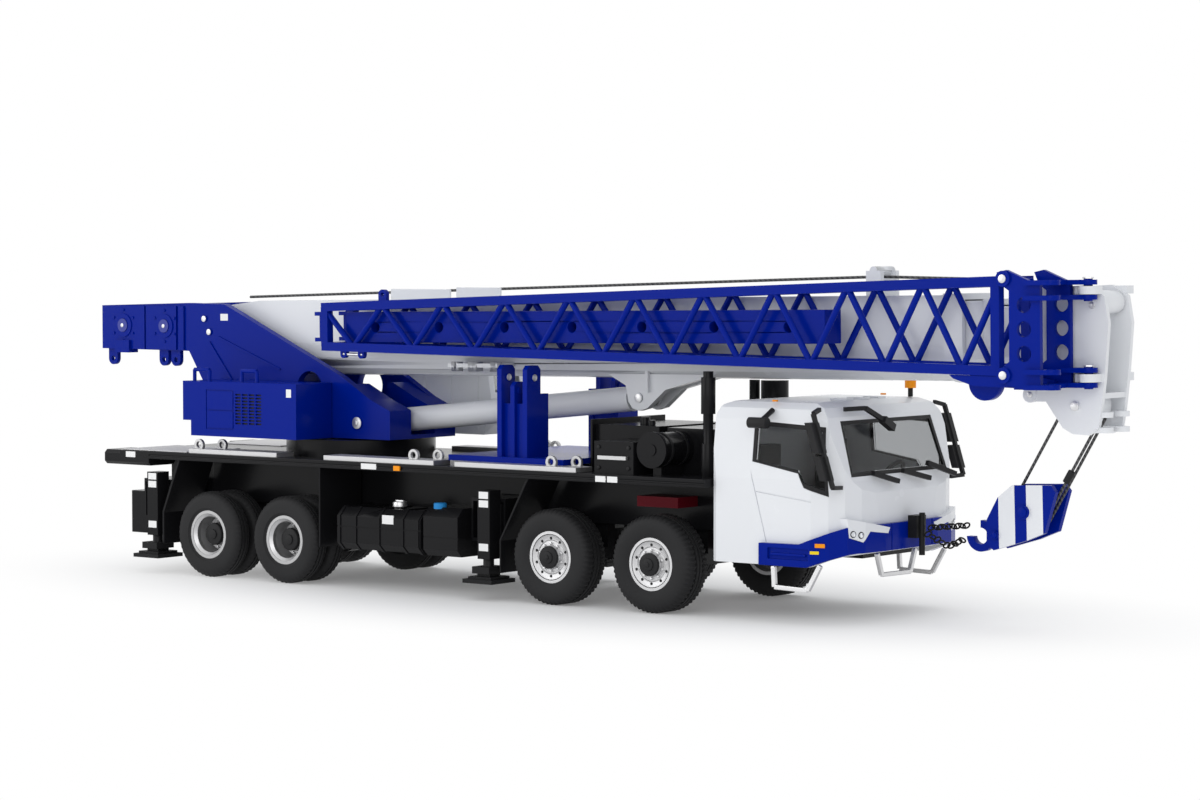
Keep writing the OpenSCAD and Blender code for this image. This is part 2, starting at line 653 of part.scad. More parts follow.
module rim_l1() { mirror([0, 1, 0]) front_rim(a1); }
module rim_l2() { mirror([0, 1, 0]) front_rim(a2); }
// twin tyres of one rear axle
module twin_tyres(x) {
    color("black") place() both() for (y = [twin_in, twin_in + twin_w + twin_gap])
        turned(x, rear_r, y) tyre_ring(rear_r, twin_w);
}
// their dished rims on one axle rod
module twin_rims(x) {
    w = 2 * twin_w + twin_gap;
    color("silver") place() {
        both() turned(x, rear_r, twin_in)
            polygon([[0, 0.6], [3, 0.6], [3, 1.4], [5.4, 1.4], [5.4, 0.6], [rim_r - 0.02, 0.6],
                [rim_r - 0.02, w - 0.5],
                [5.5, w - 0.5], [5.2, w - 3], [4.4, w - 5.4], [3.2, w - 5.8], [2.8, w - 2.6],
                [0, w - 2.4]]);
        ycyl(x, rear_r, 1.4, -twin_in - 1, twin_in + 1);
    }
}
module tyres_3() { twin_tyres(a3); }
module tyres_4() { twin_tyres(a4); }
module rims_3() { twin_rims(a3); }
module rims_4() { twin_rims(a4); }

// Superstructure: side plates, floor, winch box and pins
plate_in = plate_half - plate_t;
winch_1 = slew_x - 74.4;
winch_2 = slew_x - 58.7;
winch_z = pivot_z - 0.4;
frame_low = 36.9;
plate_pts = [[slew_x - 82.6, pivot_z - 6.8], [slew_x - 82.6, pivot_z + 5], [slew_x - 50, pivot_z + 5.9],
    [slew_x - 37, pivot_z + 5.7], [slew_x + 4.3, 53.1], [slew_x + 14.6, 47.1], [slew_x + 21.3, 44.3],
    [slew_x + 21.3, frame_low], [slew_x - 36, frame_low], [slew_x - 50, pivot_z - 7]];
// a hanging lug with an eye
module lug(x, y) {
    difference() {
        union() {
            box(x - 1.7, x + 1.7, y, y + 1.2, 56, pivot_z - 6.2);
            ycyl(x, 56, 1.7, y, y + 1.2);
        }
        ycyl(x, 56, 0.7, y - 1, y + 3);
    }
}
module rib(p, q, w) {
    d = q - p;
    n = [-d[1], d[0]] * w / norm(d) / 2;
    both() yprism([p - n, q - n, q + n, p + n], plate_half - 0.2, plate_half + 0.35);
}
module slew_frame() {
    color("blue") place() {
        difference() {
            union() {
                both() {
                    yprism(plate_pts, plate_in, plate_half);
                    // lower boxes beside the cylinder
                    yprism([[slew_x + 5, frame_low], [slew_x + 21.3, frame_low], [slew_x + 21.3, 44.3],
                        [slew_x + 14.6, 47.1],
                        [slew_x + 7, 50.8], [slew_x + 5, 50.8]], 4.7, plate_in + 0.2);
                    // winch box panels, bosses, lugs and brackets
                    box(slew_x - 82.6, slew_x - 66.4, plate_half - 0.2, plate_half + 0.5, pivot_z - 6.8,
                        pivot_z + 5);
                    box(slew_x - 65.8, slew_x - 54.4, plate_half - 0.2, plate_half + 0.5, pivot_z - 6.8,
                        pivot_z + 5);
                    box(slew_x - 53.6, slew_x - 51.6, plate_half - 0.2, plate_half + 0.5, pivot_z - 6.8,
                        pivot_z + 5);
                    for (x = [winch_1, winch_2]) {
                        ycyl(x, winch_z, 3.2, plate_half + 0.4, plate_half + 0.8);
                        for (a = [30 : 60 : 330])
                            ycyl(x + 4.2 * cos(a), winch_z + 4.2 * sin(a), 0.4, plate_half + 0.4,
                                plate_half + 0.8);
                    }
                    box(slew_x - 77, slew_x - 71.6, plate_in, plate_half + 1.3,
                        weight_top + ear_h + 0.4, pivot_z - 4.4);
                    for (x = [slew_x - 80, slew_x - 60.5, slew_x - 56]) lug(x, plate_in);
                    for (p = [[-0.6, 1.7], [1.2, -1.8]])
                        ycyl(pivot_x + p[0], pivot_z + p[1], 0.9, plate_half - 0.2, plate_half + 0.4);
                }
                rib([slew_x - 42.4, 61], [slew_x - 33, 49.6], 0.7);
                rib([slew_x - 39, 62.4], [slew_x - 16.6, 54.2], 0.5);
                box(slew_x - 36, slew_x + 21.3, -plate_half, plate_half, frame_low, frame_low + 1);
                box(slew_x - 35, slew_x - 32.6, -plate_half, plate_half, frame_low, 50);
                box(slew_x - 82.6, slew_x - 54, -plate_half, plate_half, pivot_z - 6.8, pivot_z - 5.9);
                ycyl(pivot_x, pivot_z, pivot_r, -plate_half, plate_half);
                ycyl(foot_x, foot_z, 1.6, -plate_half - 0.4, plate_half);
            }
            zcyl(slew_x, 0, 6.06, 30, 45);
            ycyl(slew_x - 6.4, 49.6, 4.4, -20, 20);
            for (x = [winch_1, winch_2]) ycyl(x, winch_z, 1.86, -20, 20);
        }
    }
}
module winch(x) {
    color("silver") place() {
        ycyl(x, winch_z, 1.8, -plate_half - 1, plate_half + 1);
        ycyl(x, winch_z, 3.8, -plate_in + 0.3, plate_in - 0.3);
        both() ycyl(x, winch_z, 4.9, plate_in - 1.3, plate_in - 0.3);
    }
}
module winch_main() { winch(winch_2); }
module winch_aux() { winch(winch_1); }
// machinery housing on the right with louvres
module housing() {
    x0 = slew_x - 30.2;
    color("blue") place() {
        difference() {
            box(slew_x - 38.6, slew_x + 1.7, -27, -plate_half - 0.4, frame_low, 51.2);
            box(slew_x - 40, slew_x - 35.7, -30, -10, 30, 40.9);
            // louvres and the lines of the door
            for (i = [0 : 9], k = [0 : 3])
                box(slew_x - 19.7 + k * 2.42, slew_x - 17.7 + k * 2.42, -28, -26.5, 40.3 + i * 0.83,
                    40.75 + i * 0.83);
            for (x = [x0, x0 + 9.6]) box(x, x + 0.3, -28, -26.75, 38.8, 49.1);
            for (z = [38.8, 43.6, 48.8]) box(x0, x0 + 9.8, -28, -26.75, z, z + 0.3);
        }
        for (x = [slew_x - 35.4, slew_x - 18.4])
            wire([[x, -25.8, 51], [x, -25.8, 54.2], [x + 5.4, -25.8, 54.2], [x + 5.4, -25.8, 51]], 0.5);
    }
}
// operator's cab on the left
ocab = [[slew_x + 5, 37.5], [slew_x + 31, 37.5], [slew_x + 33.4, 47], [slew_x + 30.6, 65.4],
    [slew_x + 28, 67.4],
    [slew_x + 8, 67.4], [slew_x + 5, 65.4]];
ocab_c = [slew_x + 19, 52.5];
module ocab_form(t) {
    yprism(shrink(ocab, ocab_c, [1 - t / 14, 1 - t / 15]), plate_half + t, 28 - t);
}
module ocab_openings(g) {
    yprism(shrink([[slew_x + 9, 48.5], [slew_x + 29, 48.5], [slew_x + 27.6, 64], [slew_x + 9, 64]],
        [slew_x + 19, 56], [1 - g / 10, 1 - g / 8]), 25.6, 30);
    box(slew_x + 24, slew_x + 40, plate_half + 2.2 + g, 25.8 - g, 48.5 + g, 64 - g);
    box(slew_x, slew_x + 9, plate_half + 2.2 + g, 25.8 - g, 54 + g, 64 - g);
}
module crane_cab() {
    color("white") place() {
        difference() {
            ocab_form(0);
            ocab_form(1.1);
            ocab_openings(0);
            for (x = [slew_x + 11, slew_x + 20, slew_x + 29])
                box(x, x + 0.3, plate_half - 1, plate_half + 0.25, 39, 66);
            for (z = [45, 56]) box(slew_x + 11, slew_x + 29, plate_half - 1, plate_half + 0.25, z,
                z + 0.3);
            box(slew_x + 8, slew_x + 8.3, 27.7, 29, 39, 65);
            box(slew_x + 8, slew_x + 30, 27.7, 29, 47, 47.3);
        }
        // seat moulded with the floor
        box(slew_x + 11, slew_x + 19, 16.5, 24.5, 38.2, 46);
        box(slew_x + 10, slew_x + 12.4, 16.5, 24.5, 38.2, 58);
    }
}
module crane_cab_glass() {
    color("lightblue") place() intersection() {
        difference() { ocab_form(0.3); ocab_form(0.8); }
        ocab_openings(0.03);
    }
}

// Boom: nested rounded sections, drawn along the boom from its pivot
function sect(t) = let (w = boom_w / 2 - t, b = boom_low - t, s = 5, h = [
    [w, boom_high - t], [w, -s], [0.92 * w, -s - 0.44 * (b - s)], [0.69 * w, -s - 0.78 * (b - s)],
    [0.37 * w, -s - 0.96 * (b - s)], [0.1 * w, -b]]) concat(flop(h), h);
module tube(t, x0, x1) {
    difference() {
        xprism(sect(t), x0, x1);
        xprism(sect(t + boom_wall), x0 - 1, x1 + 1);
    }
}
module boom_base() {
    color("white") on_boom() {
        difference() {
            union() {
                tube(0, 14, boom_len);
                difference() {
                    xprism(sect(-0.4), boom_len - 5, boom_len);
                    xprism(sect(0.5), boom_len - 6, boom_len + 1);
                }
            }
            both() box(16, boom_len - 5.4, boom_w / 2 - 0.15, boom_w / 2 + 1, -5.15, -4.85);
        }
        difference() {
            union() {
                xprism(sect(0.1), 14, 15.2);
                both() yprism([[-4.4, -2.6], [-4.4, 2.6], [-1.6, 4.8], [14.6, boom_high], [14.6, -12],
                    [8, -9]], 5.3, 7.5);
            }
            ycyl(0, 0, pivot_r + 0.06, -20, 20);
        }
        // luffing bracket with pin ends
        both() {
            yprism([[bracket_x - 9.5, -12.2], [bracket_x - 4, -15], [bracket_x - 3.2, -bracket_low - 1],
                [bracket_x - 2, -bracket_low - 2.6],
                [bracket_x, -bracket_low - 3.2], [bracket_x + 2.4, -bracket_low - 2.6],
                [bracket_x + 8, -16],
                [bracket_x + 23, -12.2]], 2.6, 4.6);
            ycyl(bracket_x, -bracket_low, 1.2, 4.5, 5);
            box(bracket_x + 2.6, bracket_x + 3.4, 4.5, 5.6, -16.6, -11.4);
        }
        // jib rest under the folded jib
        box(84, 100, -13, -6, -10.7, -9.7);
        for (p = [[86, 1.5], [92, 1.9], [98.6, 1.5]]) zcyl(p[0], -11.8, p[1], -11.7, -9.3);
        // rope guide
        both() box(guide_x - 2, guide_x + 2, 2.6, 4, boom_high - 0.5, 12.2);
        ycyl(guide_x, 12.2, 1, -4, 4);
    }
}
module collar(t, x) {
    difference() {
        xprism(sect(t - 0.4), x - 2.4, x);
        xprism(sect(t + 0.5), x - 3, x + 1);
    }
}
module boom_section_2() {
    color("white") on_boom() {
        tube(boom_step, 20, boom_len + 7);
        collar(boom_step, boom_len + 7);
    }
}
module boom_section_3() {
    color("white") on_boom() tube(2 * boom_step, 26, boom_len + 13);
}
head_x = boom_len + 13;
swing_x = head_x + 19.3;
swing_y = jib_y / 2;
sheave = [head_x + 14.8, -18.3];
sheave_r = 4;
lug_z = [7.3, -12];
module boom_head() {
    h = head_x;
    color("white") on_boom() {
        difference() {
            union() {
                both() {
                    yprism([[h, 7.6], [h + 18, 8.4], [h + 22, 6], [h + 23, 0], [h + 22, -12],
                        [h + 21, -20], [h + 20.4, -23],
                        [h + 18, -24.7], [h + 14, -24.5], [h + 11.5, -23.2], [h + 7.3, -17.4],
                        [h + 3.6, -17.4], [h + 2, -14],
                        [h, -11]], 4.8, 6);
                    ycyl(h + 3.3, -15.9, 1.75, 4.8, 6.2);
                }
                box(h, h + 1.6, -5, 5, -10.6, boom_high - 3);
                box(h + 1, h + 3, -5, 5, -10.6, 6);
                box(h + 20, h + 21.3, -5, 5, -16.6, -15.4);
                both() {
                    for (z = lug_z) {
                        box(swing_x - 3.4, swing_x + 2.1, 5.6, swing_y, z - 0.9, z + 0.9);
                        zcyl(swing_x, swing_y, 2.1, z - 0.9, z + 0.9);
                    }
                    // lower front lugs
                    for (z = [-20.2, -23.6]) {
                        box(h + 15, h + 21, 3.2, 5.2, z - 0.6, z + 0.6);
                        zcyl(h + 21, 3.8, 1.7, z - 0.6, z + 0.6);
                    }
                }
                ycyl(h + 19, 4.6, 0.8, -6.1, 6.1);
                ycyl(h + 19, 4.6, 2.6, -4.2, 4.2);
                ycyl(sheave[0], sheave[1], 1, -6.5, 6.5);
                ycyl(sheave[0], sheave[1], sheave_r, -3, 3);
            }
            both() {
                zcyl(swing_x, swing_y, 1.06, -30, 30);
                zcyl(h + 21, 3.8, 0.7, -25, -19);
            }
        }
    }
}
// Luffing cylinder between the foot pin and the boom bracket
eye_x = pivot_x + bracket_x * cos(boom_rest) + bracket_low * sin(boom_rest);
eye_z = pivot_z + bracket_x * sin(boom_rest) - bracket_low * cos(boom_rest);
luff_a = atan2(eye_z - foot_z, eye_x - foot_x);
luff_l = norm([eye_x - foot_x, eye_z - foot_z]);
module on_cylinder() { place() translate([foot_x, 0, foot_z]) rotate([0, -luff_a, 0]) children(); }
module luff_barrel() {
    color("white") on_cylinder() difference() {
        union() {
            ycyl(0, 0, 2.6, -3.6, 3.6);
            xcyl(0, 0, barrel_r, 2, luff_l - 5);
        }
        ycyl(0, 0, 1.66, -10, 10);
        xcyl(0, 0, 1.86, 3.6, luff_l);
    }
}
module luff_rod() {
    color("silver") on_cylinder() {
        xcyl(0, 0, 1.8, 4, luff_l - 1);
        ycyl(luff_l, 0, 2.4, -2.1, 2.1);
    }
}
// Lattice jib folded along the right of the boom
jib_z = -0.3;
jib_tip_w = jib_half - 1.6;
module bar(p, q, s) {
    d = q - p;
    l = norm(d);
    translate(p) rotate([0, acos(d[2] / l), atan2(d[1], d[0])]) translate([-s / 2, -s / 2, 0])
        cube([s, s, l]);
}
function jw(x) = jib_tip_w + (jib_half - jib_tip_w) * (x - jib_base_x + jib_len) / jib_len - chord / 2;
function jh(x) = jib_tip_h + (jib_base_h - jib_tip_h) * (x - jib_base_x + jib_len) / jib_len - chord / 2;
function jp(x, sy, sz) = [x, -jib_y + sy * jw(x), jib_z + sz * jh(x)];
jib_tip = jib_base_x - jib_len;
bay = jib_len / 10;
module jib() {
    color("blue") on_boom() {
        for (sy = [-1, 1]) {
            for (sz = [-1, 1]) bar(jp(jib_tip, sy, sz), jp(jib_base_x, sy, sz), chord);
            for (i = [0 : 9]) {
                x = jib_tip + i * bay;
                rod(jp(x, sy, 1), jp(x + bay / 2, sy, -1), 0.75);
                rod(jp(x + bay / 2, sy, -1), jp(x + bay, sy, 1), 0.75);
            }
        }
        for (i = [0 : 10]) rod(jp(jib_tip + i * bay, -1, 1), jp(jib_tip + i * bay, 1, 1), 0.7);
        for (i = [0 : 9]) rod(jp(jib_tip + (i + 0.5) * bay, -1, -1),
            jp(jib_tip + (i + 0.5) * bay, 1, -1), 0.7);
        // lugs and plates at the tip
        for (sy = [-1, 1], sz = [-1, 1]) translate([0, -jib_y + sy * 4.6, jib_z + sz * 3.3]) {
            zprism([[jib_tip + 0.6, -0.8], [jib_tip - 2.8, -0.8], [jib_tip - 3.6, 0],
                [jib_tip - 2.8, 0.8], [jib_tip + 0.6, 0.8]], -0.5, 0.5);
        }
        for (sy = [-1, 1]) translate([0, -jib_y + sy * 4.6, jib_z])
            yprism([[jib_tip + 0.4, -4.4], [jib_tip - 1.6, -3.6], [jib_tip - 1.6, 3.6],
                [jib_tip + 0.4, 4.4]], -0.35, 0.35);
        translate([jib_tip + 20.5, -jib_y - jw(jib_tip + 20), jib_z + jh(jib_tip + 20) + 1])
            difference() {
            union() {
                ycyl(0, 1.6, 1.3, -0.6, 0.6);
                box(-1.3, 1.3, -0.6, 0.6, -1, 1.6);
            }
            ycyl(0, 1.6, 0.55, -2, 2);
        }
        for (x = [jib_tip + 7, jib_tip + 13]) translate([x, -jib_y - jw(x), jib_z - jh(x) - 1])
            difference() {
            union() {
                ycyl(0, -0.8, 1, -0.6, 0.6);
                box(-1, 1, -0.6, 0.6, -0.8, 1);
            }
            ycyl(0, -0.8, 0.45, -2, 2);
        }
        // tip frame and base posts
        for (sy = [-1, 1]) {
            bar(jp(jib_tip + 1, sy, -1), jp(jib_tip + 1, sy, 1), chord);
            bar(jp(jib_base_x - 1, sy, -1), jp(jib_base_x - 1, sy, 1), chord);
        }
        bar(jp(jib_tip + 1, -1, -1), jp(jib_tip + 1, 1, -1), chord);
        for (sz = [-1, 1]) bar(jp(jib_base_x - 1, -1, sz), jp(jib_base_x - 1, 1, sz), chord);
    }
}
// base yoke bolted to the lattice, with forks for the head's lugs
module jib_base() {
    x0 = jib_base_x;
    top = lug_z[0] + 2.3;
    low = lug_z[1] - 2.1;
    color("blue") on_boom() {
        difference() {
            union() {
                // side plates with pierced webs, outer and inner
                for (p = [[-jib_y - swing_y - 0.6, 10.9], [-jib_y + swing_y - 0.7, 9.2]]) difference() {
                    yprism([[x0 + 0.2, 11.4], [x0 + 2.6, 11.9], [x0 + 8, top], [x0 + p[1], top],
                        [x0 + p[1], low], [x0 + 7, low],
                        [x0 + 2.6, -13], [x0 + 0.2, -12], [x0 + 1.4, -9.4], [x0 + 3.2, -8],
                        [x0 + 3.2, 7.4], [x0 + 1.4, 8.6]], p[0], p[0] + 1.2);
                    for (z = [-6.3, -1, 4.3]) ycyl(x0 + 6.9, z, 1.75, p[0] - 1, p[0] + 3);
                }
                for (z = [top - 1, low]) box(x0 + 4, x0 + 9, -jib_y - swing_y, -jib_y + swing_y, z,
                    z + 1);
                // gussets under the lower chords and the deflector sheave between them
                for (sy = [-1, 1]) translate([0, -jib_y + sy * (jib_half - chord / 2), 0])
                    yprism([[x0 - 13, jib_z - jib_base_h + 0.2], [x0 - 12, -11.8], [x0 - 7, -13.4],
                        [x0 + 6, low + 0.2],
                        [x0 + 6, low + 1.6], [x0 + 0.4, jib_z - jib_base_h - 0.15],
                        [x0 - 0.2, jib_z - jib_base_h - 0.1]], -0.6, 0.6);
                ycyl(x0 - 7.6, -12.5, 0.8, -jib_y - jib_half + 1, -jib_y + jib_half - 1);
                difference() {
                    ycyl(x0 - 7.6, -12.9, 4, -jib_y - 1.1, -jib_y + 1.1);
                    box(x0 - 13, x0 - 8.6, -jib_y - 3, -jib_y + 3, -11.1, -7);
                }
                // bolt bosses at the chords
                for (z = [10, -11]) ycyl(x0 + 1.95, z, 1.75, -jib_y - swing_y - 1.2,
                    -jib_y - swing_y + 0.8);
                // forks
                for (y = [-swing_y, swing_y]) translate([0, y - jib_y, 0])
                    for (z = lug_z, e = [1, -2.3]) {
                    box(x0 + 7.4, swing_x, -2, 2, z + e + 0.2, z + e + 1.3);
                    zcyl(swing_x, 0, 2, z + e + 0.2, z + e + 1.3);
                }
            }
            for (y = [-swing_y, swing_y]) zcyl(swing_x, y - jib_y, 1, -30, 30);
        }
        for (z = lug_z) zcyl(swing_x, -swing_y, 1, z - 2.4, z + 2.6);
    }
}
module jib_beam() {
    color("blue") on_boom() difference() {
        box(jib_tip + 6, jib_tip + 152, -jib_y - 3.4, -jib_y + 3.4, -4.4, 3.4);
        for (i = [0 : 6]) ycyl(jib_tip + 16 + i * 21, -0.5, 1.3, -jib_y - 5, -jib_y + 5);
    }
}
module hoist_rope() {
    color("dimgray") on_boom() {
        rod([4, 0, boom_high + 1], [guide_x - 1.4, 0, 10.8], 0.35);
        rod([guide_x - 0.6, 0, 10.8], [boom_len, 0, 10], 0.35);
    }
}
// Hook block and its falls, hung from the head's lower sheave and held back by the chain
fall_x = pivot_x + sheave[0] * cos(boom_rest) - sheave[1] * sin(boom_rest);
fall_z = pivot_z + sheave[0] * sin(boom_rest) + sheave[1] * cos(boom_rest);
hook_lean = 30.5;
hook_drop = 28.2;
block_x = fall_x - hook_drop * sin(hook_lean);
block_z = fall_z - hook_drop * cos(hook_lean);
module hook_block() {
    color("blue") place() translate([block_x, 0, block_z]) {
        both() yprism([[-3.1, 5.9], [6.9, 6.3], [8.1, 4.8], [5.4, -4.5], [0.5, -6.5], [-7.7, -9],
            [-9.5, -7.5],
            [-9.5, -2.1], [-6.7, 3]], 2.4, 3.8);
        ycyl(0, 0, sheave_r, -2.2, 2.2);
        ycyl(0, 0, 1.6, -4.4, 4.4);
        ycyl(-7.2, -5.5, 1, -4.4, 4.4);
        difference() {
            ycyl(-12.8, -6.2, 3.6, -0.9, 0.9);
            ycyl(-12.8, -6.2, 1.9, -2, 2);
            box(-17, -12.8, -2, 2, -6.4, 0);
        }
        box(-10.4, -5, -1.2, 1.2, -7, -3.6);
    }
}
module rope_falls() {
    color("dimgray") place() translate([fall_x, 0, fall_z]) rotate([0, hook_lean, 0])
        for (p = [[-1, -1], [1, -1], [1, 1]]) zcyl(p[0] * (sheave_r + 0.5), p[1] * 1.1, 0.35,
            -hook_drop, -0.6);
}

frame();
deck();
deck_plates();
cab_shell();
cab_glass();
cab_interior();
bumper();
cab_steps();
cab_trim();
lamps();
powerpack();
engine();
tanks();
outrigger_boxes();
counterweight();
axles();
turntable_ring();
tow_chain();
knuckle_r1();
knuckle_r2();
knuckle_l1();
knuckle_l2();
tyre_r1();
tyre_r2();
tyre_l1();
tyre_l2();
rim_r1();
rim_r2();
rim_l1();
rim_l2();
tyres_3();
tyres_4();
rims_3();
rims_4();
beam_fr();
beam_fl();
beam_rr();
beam_rl();
jack_fr();
jack_fl();
jack_rr();
jack_rl();
slew_frame();
winch_main();
winch_aux();
housing();
crane_cab();
crane_cab_glass();
boom_base();
boom_section_2();
boom_section_3();
boom_head();
luff_barrel();
luff_rod();
jib();
jib_base();
jib_beam();
hoist_rope();
hook_block();
rope_falls();
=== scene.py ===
import math

import bmesh
import bpy
from mathutils import Matrix, Vector


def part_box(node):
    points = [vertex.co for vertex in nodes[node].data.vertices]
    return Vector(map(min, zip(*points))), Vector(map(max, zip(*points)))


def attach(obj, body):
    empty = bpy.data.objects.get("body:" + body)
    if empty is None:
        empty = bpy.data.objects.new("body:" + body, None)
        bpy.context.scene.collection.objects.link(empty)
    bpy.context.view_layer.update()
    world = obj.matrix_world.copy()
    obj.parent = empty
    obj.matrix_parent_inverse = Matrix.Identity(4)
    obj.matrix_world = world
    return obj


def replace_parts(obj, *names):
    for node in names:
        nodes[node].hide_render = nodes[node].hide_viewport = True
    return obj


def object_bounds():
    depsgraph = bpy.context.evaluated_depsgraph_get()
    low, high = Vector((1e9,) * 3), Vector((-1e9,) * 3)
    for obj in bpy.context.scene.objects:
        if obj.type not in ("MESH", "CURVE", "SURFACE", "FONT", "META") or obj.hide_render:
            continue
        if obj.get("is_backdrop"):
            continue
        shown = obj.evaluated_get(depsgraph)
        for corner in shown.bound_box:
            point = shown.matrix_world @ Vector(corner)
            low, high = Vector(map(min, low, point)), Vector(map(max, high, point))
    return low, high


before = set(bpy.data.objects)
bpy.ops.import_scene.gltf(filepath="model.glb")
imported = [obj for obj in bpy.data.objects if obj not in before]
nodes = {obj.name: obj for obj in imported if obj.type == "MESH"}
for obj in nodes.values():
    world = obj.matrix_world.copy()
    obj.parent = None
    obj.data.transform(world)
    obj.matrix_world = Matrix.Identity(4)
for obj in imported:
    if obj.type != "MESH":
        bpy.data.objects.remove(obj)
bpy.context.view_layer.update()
scene = bpy.context.scene
MM = 0.001


# Studio: a white sweep of card under and behind the model, soft light from above
# and both sides, and a long lens nearly level with the deck.
class Sock:
    """A node's output that can stand in a sum."""

    def __init__(self, tree, socket):
        self.tree, self.socket = tree, socket

    def math(self, operation, a, b=0.0):
        node = self.tree.nodes.new("ShaderNodeMath")
        node.operation = operation
        for slot, value in zip(node.inputs, (a, b)):
            if isinstance(value, Sock):
                self.tree.links.new(value.socket, slot)
            else:
                slot.default_value = value
        return Sock(self.tree, node.outputs[0])

    def __add__(self, other):
        return self.math("ADD", self, other)

    def __sub__(self, other):
        return self.math("SUBTRACT", self, other)

    def __rsub__(self, other):
        return self.math("SUBTRACT", other, self)

    def __mul__(self, other):
        return self.math("MULTIPLY", self, other)

    def __gt__(self, other):
        return self.math("GREATER_THAN", self, other)

    def __lt__(self, other):
        return self.math("LESS_THAN", self, other)

    def larger(self, other):
        return self.math("MAXIMUM", self, other)

    def between(self, low, high):
        return (self > low) * (self < high)

    __radd__ = __add__
    __rmul__ = __mul__


class Finish:
    """A material whose surface is one principled shader."""

    def __init__(self, name, **fixed):
        self.material = bpy.data.materials.new(name)
        self.material.use_nodes = True
        self.tree = self.material.node_tree
        self.tree.nodes.clear()
        self.shader = self.tree.nodes.new("ShaderNodeBsdfPrincipled")
        self.out = self.tree.nodes.new("ShaderNodeOutputMaterial")
        self.tree.links.new(self.shader.outputs[0], self.out.inputs[0])
        for key, value in fixed.items():
            self.set(key.replace("_", " ").title().replace("Ior", "IOR"), value)

    def set(self, name, value):
        self.plug(self.shader.inputs[name], value)

    def plug(self, slot, value):
        if isinstance(value, Sock):
            self.tree.links.new(value.socket, slot)
        elif slot.type == "RGBA" and len(value) == 3:
            slot.default_value = (*value, 1.0)
        else:
            slot.default_value = value

    def node(self, kind, settings=None, out=0, **inputs):
        """A shader node; an input is given by its name, or by i and its number."""
        node = self.tree.nodes.new("ShaderNode" + kind)
        for key, value in (settings or {}).items():
            if key == "stops":
                while len(node.color_ramp.elements) < len(value):
                    node.color_ramp.elements.new(0.5)
                for element, (place, colour) in zip(node.color_ramp.elements, value):
                    element.position, element.color = place, (*colour, 1.0)
            else:
                setattr(node, key, value)
        for key, value in inputs.items():
            numbered = key[0] == "i" and key[1:].isdigit()
            self.plug(node.inputs[int(key[1:]) if numbered else key], value)
        return Sock(self.tree, node.outputs[out])

    def place(self):
        return self.node("TexCoord", out="Object")

    def axes(self):
        place = self.place()
        return [self.node("SeparateXYZ", out=axis, Vector=place) for axis in "XYZ"]

    def noise(self, scale, detail=3.0, at=None):
        return self.node("TexNoise", Scale=scale, Detail=detail, Vector=at or self.place())

    def ribs(self, scale, at, direction="X"):
        return self.node("TexWave", {"bands_direction": direction}, out="Fac", Scale=scale,
                         Distortion=0.0, Vector=at)

    def mix(self, share, a, b):
        return self.node("MixRGB", Fac=share, Color1=a, Color2=b)

    def bump(self, height, strength, depth):
        self.set("Normal", self.node("Bump", Height=height, Strength=strength, Distance=depth))


scene.view_settings.view_transform = "Standard"
picture_width, focal_pixels, sensor = 1200, 3229.7, 36.0
aim = Vector((8.5, 0.0, 48.3)) * MM
azimuth, elevation, distance = math.radians(37.3), math.radians(2.54), 800.7 * MM
level = math.cos(elevation)
back = Vector((math.sin(azimuth) * level, -math.cos(azimuth) * level, math.sin(elevation)))
camera = bpy.data.objects.new("camera", bpy.data.cameras.new("camera"))
scene.collection.objects.link(camera)
camera.data.sensor_width = sensor
camera.data.lens = focal_pixels / picture_width * sensor
camera.data.clip_start = 0.01
camera.location = aim + back * distance
camera.rotation_euler = back.to_track_quat("Z", "Y").to_euler()
scene.camera = camera

shadow_edge, white_edge, shadow_glow, card_size = 0.03, 0.1, 0.14, 6.0
card = Finish("studio_card", base_color=(0.9, 0.9, 0.9), roughness=0.85)
glow = card.tree.nodes.new("ShaderNodeEmission")
glow.inputs[0].default_value = (1.0, 1.0, 1.0, 1.0)
along, across, _ = card.axes()
oval = card.node("CombineXYZ", X=along * 0.5, Y=across)
far = card.node("VectorMath", {"operation": "LENGTH"}, "Value", i0=oval)
fade = card.node("MapRange", {"interpolation_type": "SMOOTHSTEP"}, Value=far,
                 **{"From Min": shadow_edge, "From Max": white_edge, "To Min": shadow_glow})
sweep_mix = card.tree.nodes.new("ShaderNodeMixShader")
card.plug(sweep_mix.inputs[0], fade)
card.tree.links.new(card.shader.outputs[0], sweep_mix.inputs[1])
card.tree.links.new(glow.outputs[0], sweep_mix.inputs[2])
card.tree.links.new(sweep_mix.outputs[0], card.out.inputs[0])
sweep = bpy.data.objects.new("studio_card", bpy.data.meshes.new("studio_card"))
bm = bmesh.new()
bmesh.ops.create_grid(bm, x_segments=1, y_segments=1, size=card_size)
bm.to_mesh(sweep.data)
bm.free()
sweep.data.materials.append(card.material)
scene.collection.objects.link(sweep)
sweep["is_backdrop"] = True

world = bpy.data.worlds.new("studio")
scene.world = world
world.use_nodes = True
sky = world.node_tree
sky.nodes.clear()
path = sky.nodes.new("ShaderNodeLightPath")
seen = Sock(sky, path.outputs["Is Camera Ray"])
for ray in ("Is Glossy Ray", "Is Transmission Ray"):
    seen = seen.larger(Sock(sky, path.outputs[ray]))
pick = sky.nodes.new("ShaderNodeMixShader")
sky.links.new(seen.socket, pick.inputs[0])
for slot, colour, strength in ((1, (0.95, 0.97, 1.0, 1.0), 0.62), (2, (1.0, 1.0, 1.0, 1.0), 1.0)):
    light = sky.nodes.new("ShaderNodeBackground")
    light.inputs[0].default_value = colour
    light.inputs[1].default_value = strength
    sky.links.new(light.outputs[0], pick.inputs[slot])
world_out = sky.nodes.new("ShaderNodeOutputWorld")
sky.links.new(pick.outputs[0], world_out.inputs[0])


